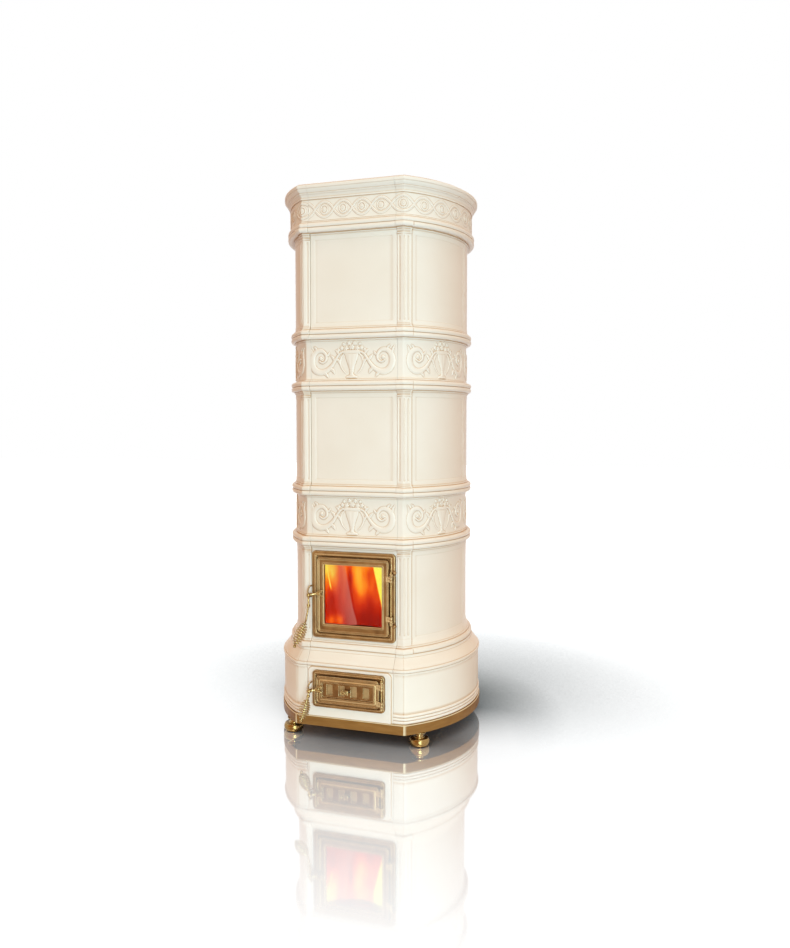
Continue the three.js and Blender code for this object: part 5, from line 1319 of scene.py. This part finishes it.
FLOOR_HALF = 20
KEY_POWER = 97
FRONT_POWER = 77
BACK_POWER = 135
SUN_POWER = 0.6
COOL = (0.50, 0.84, 1.0)
ROOM_COLOUR = (0.68, 0.335, 0.085, 1.0)
WHITE = (1.0, 1.0, 1.0, 1.0)

floor_mesh = bpy.data.meshes.new("floor")
corners = [(x * FLOOR_HALF, y * FLOOR_HALF, 0) for x, y in ((-1, -1), (1, -1), (1, 1), (-1, 1))]
floor_mesh.from_pydata(corners, [], [(0, 1, 2, 3)])
floor_mesh.materials.append(studio_floor())
floor = bpy.data.objects.new("floor", floor_mesh)
bpy.context.scene.collection.objects.link(floor)


def lamp(name, kind, power, colour, way, place=(0, 0, 0)):
    """A light that shines along a way."""
    data = bpy.data.lights.new(name, kind)
    data.energy = power
    data.color = colour
    obj = bpy.data.objects.new(name, data)
    obj.location = place
    obj.rotation_euler = way.to_track_quat("-Z", "Y").to_euler()
    bpy.context.scene.collection.objects.link(obj)
    return obj


def area_light(name, place, target, size, power):
    obj = lamp(name, "AREA", power, COOL, Vector(target) - Vector(place), place)
    obj.data.shape = "RECTANGLE"
    obj.data.size, obj.data.size_y = size
    return obj


# A cool key from the front right over a warm room, so that shaded sides and grooves turn tan.
area_light("key", (2.2, -3.6, 1.75), (0, 0, 3.2), (1.3, 2.4), KEY_POWER)
area_light("front", (1.7, -4.0, 0.7), (0, 0, 4.0), (1.6, 1.0), FRONT_POWER)
# Opposite the camera, so that the back is as pale as the front and the limbs stay tan.
back_light = area_light("back", (-1.35, 4.1, 1.4), (0, 0, 1.2), (1.6, 2.2), BACK_POWER)
back_light.visible_glossy = False
lamp("high", "SUN", SUN_POWER, (0.86, 0.95, 1.0), Vector((-0.35, 0.9, -1.9))).data.angle = 0.5

# The room is warm. It is white to the camera, through glass, and to mirror images that don't look
# straight to the front.
world = bpy.data.worlds.new("studio")
bpy.context.scene.world = world
sky = Nodes(world)
rays = sky.add("LightPath")
backward = sky.add("SeparateXYZ", {0: sky.add("TexCoord")["Generated"]})["Y"]
mirrored = sky.times(rays["Is Glossy Ray"], sky.grade(backward, -0.75, -0.35))
seen = sky.maths("MAXIMUM", rays["Is Camera Ray"], rays["Is Transmission Ray"])
seen = sky.maths("MAXIMUM", seen, mirrored)
room = sky.add("Background", {"Color": ROOM_COLOUR})[0]
backdrop = sky.add("Background", {"Color": WHITE})[0]
sky.add("OutputWorld", {"Surface": sky.add("MixShader", {0: seen, 1: room, 2: backdrop})[0]})

FOCAL = 843.9
IMAGE_HEIGHT = 948
IMAGE_WIDTH = 790
MIDDLE_X, MIDDLE_Y = 395.7, 471.3
SENSOR = 36.0
CAMERA_PLACE = (1.0899, -2.8313 + FACE_Y * MM, 1.1458)
CAMERA_DOWN = 3.19
CAMERA_TURN = 18.20
camera_data = bpy.data.cameras.new("camera")
camera_data.sensor_fit = "VERTICAL"
camera_data.sensor_height = SENSOR
camera_data.lens = FOCAL / IMAGE_HEIGHT * SENSOR
camera_data.shift_x = (IMAGE_WIDTH / 2 - MIDDLE_X) / IMAGE_HEIGHT
camera_data.shift_y = (MIDDLE_Y - IMAGE_HEIGHT / 2) / IMAGE_HEIGHT
camera = bpy.data.objects.new("camera", camera_data)
camera.location = CAMERA_PLACE
camera.rotation_euler = (math.radians(90 - CAMERA_DOWN), 0, math.radians(CAMERA_TURN))
bpy.context.scene.collection.objects.link(camera)
bpy.context.scene.camera = camera
bpy.context.scene.view_settings.view_transform = "Standard"
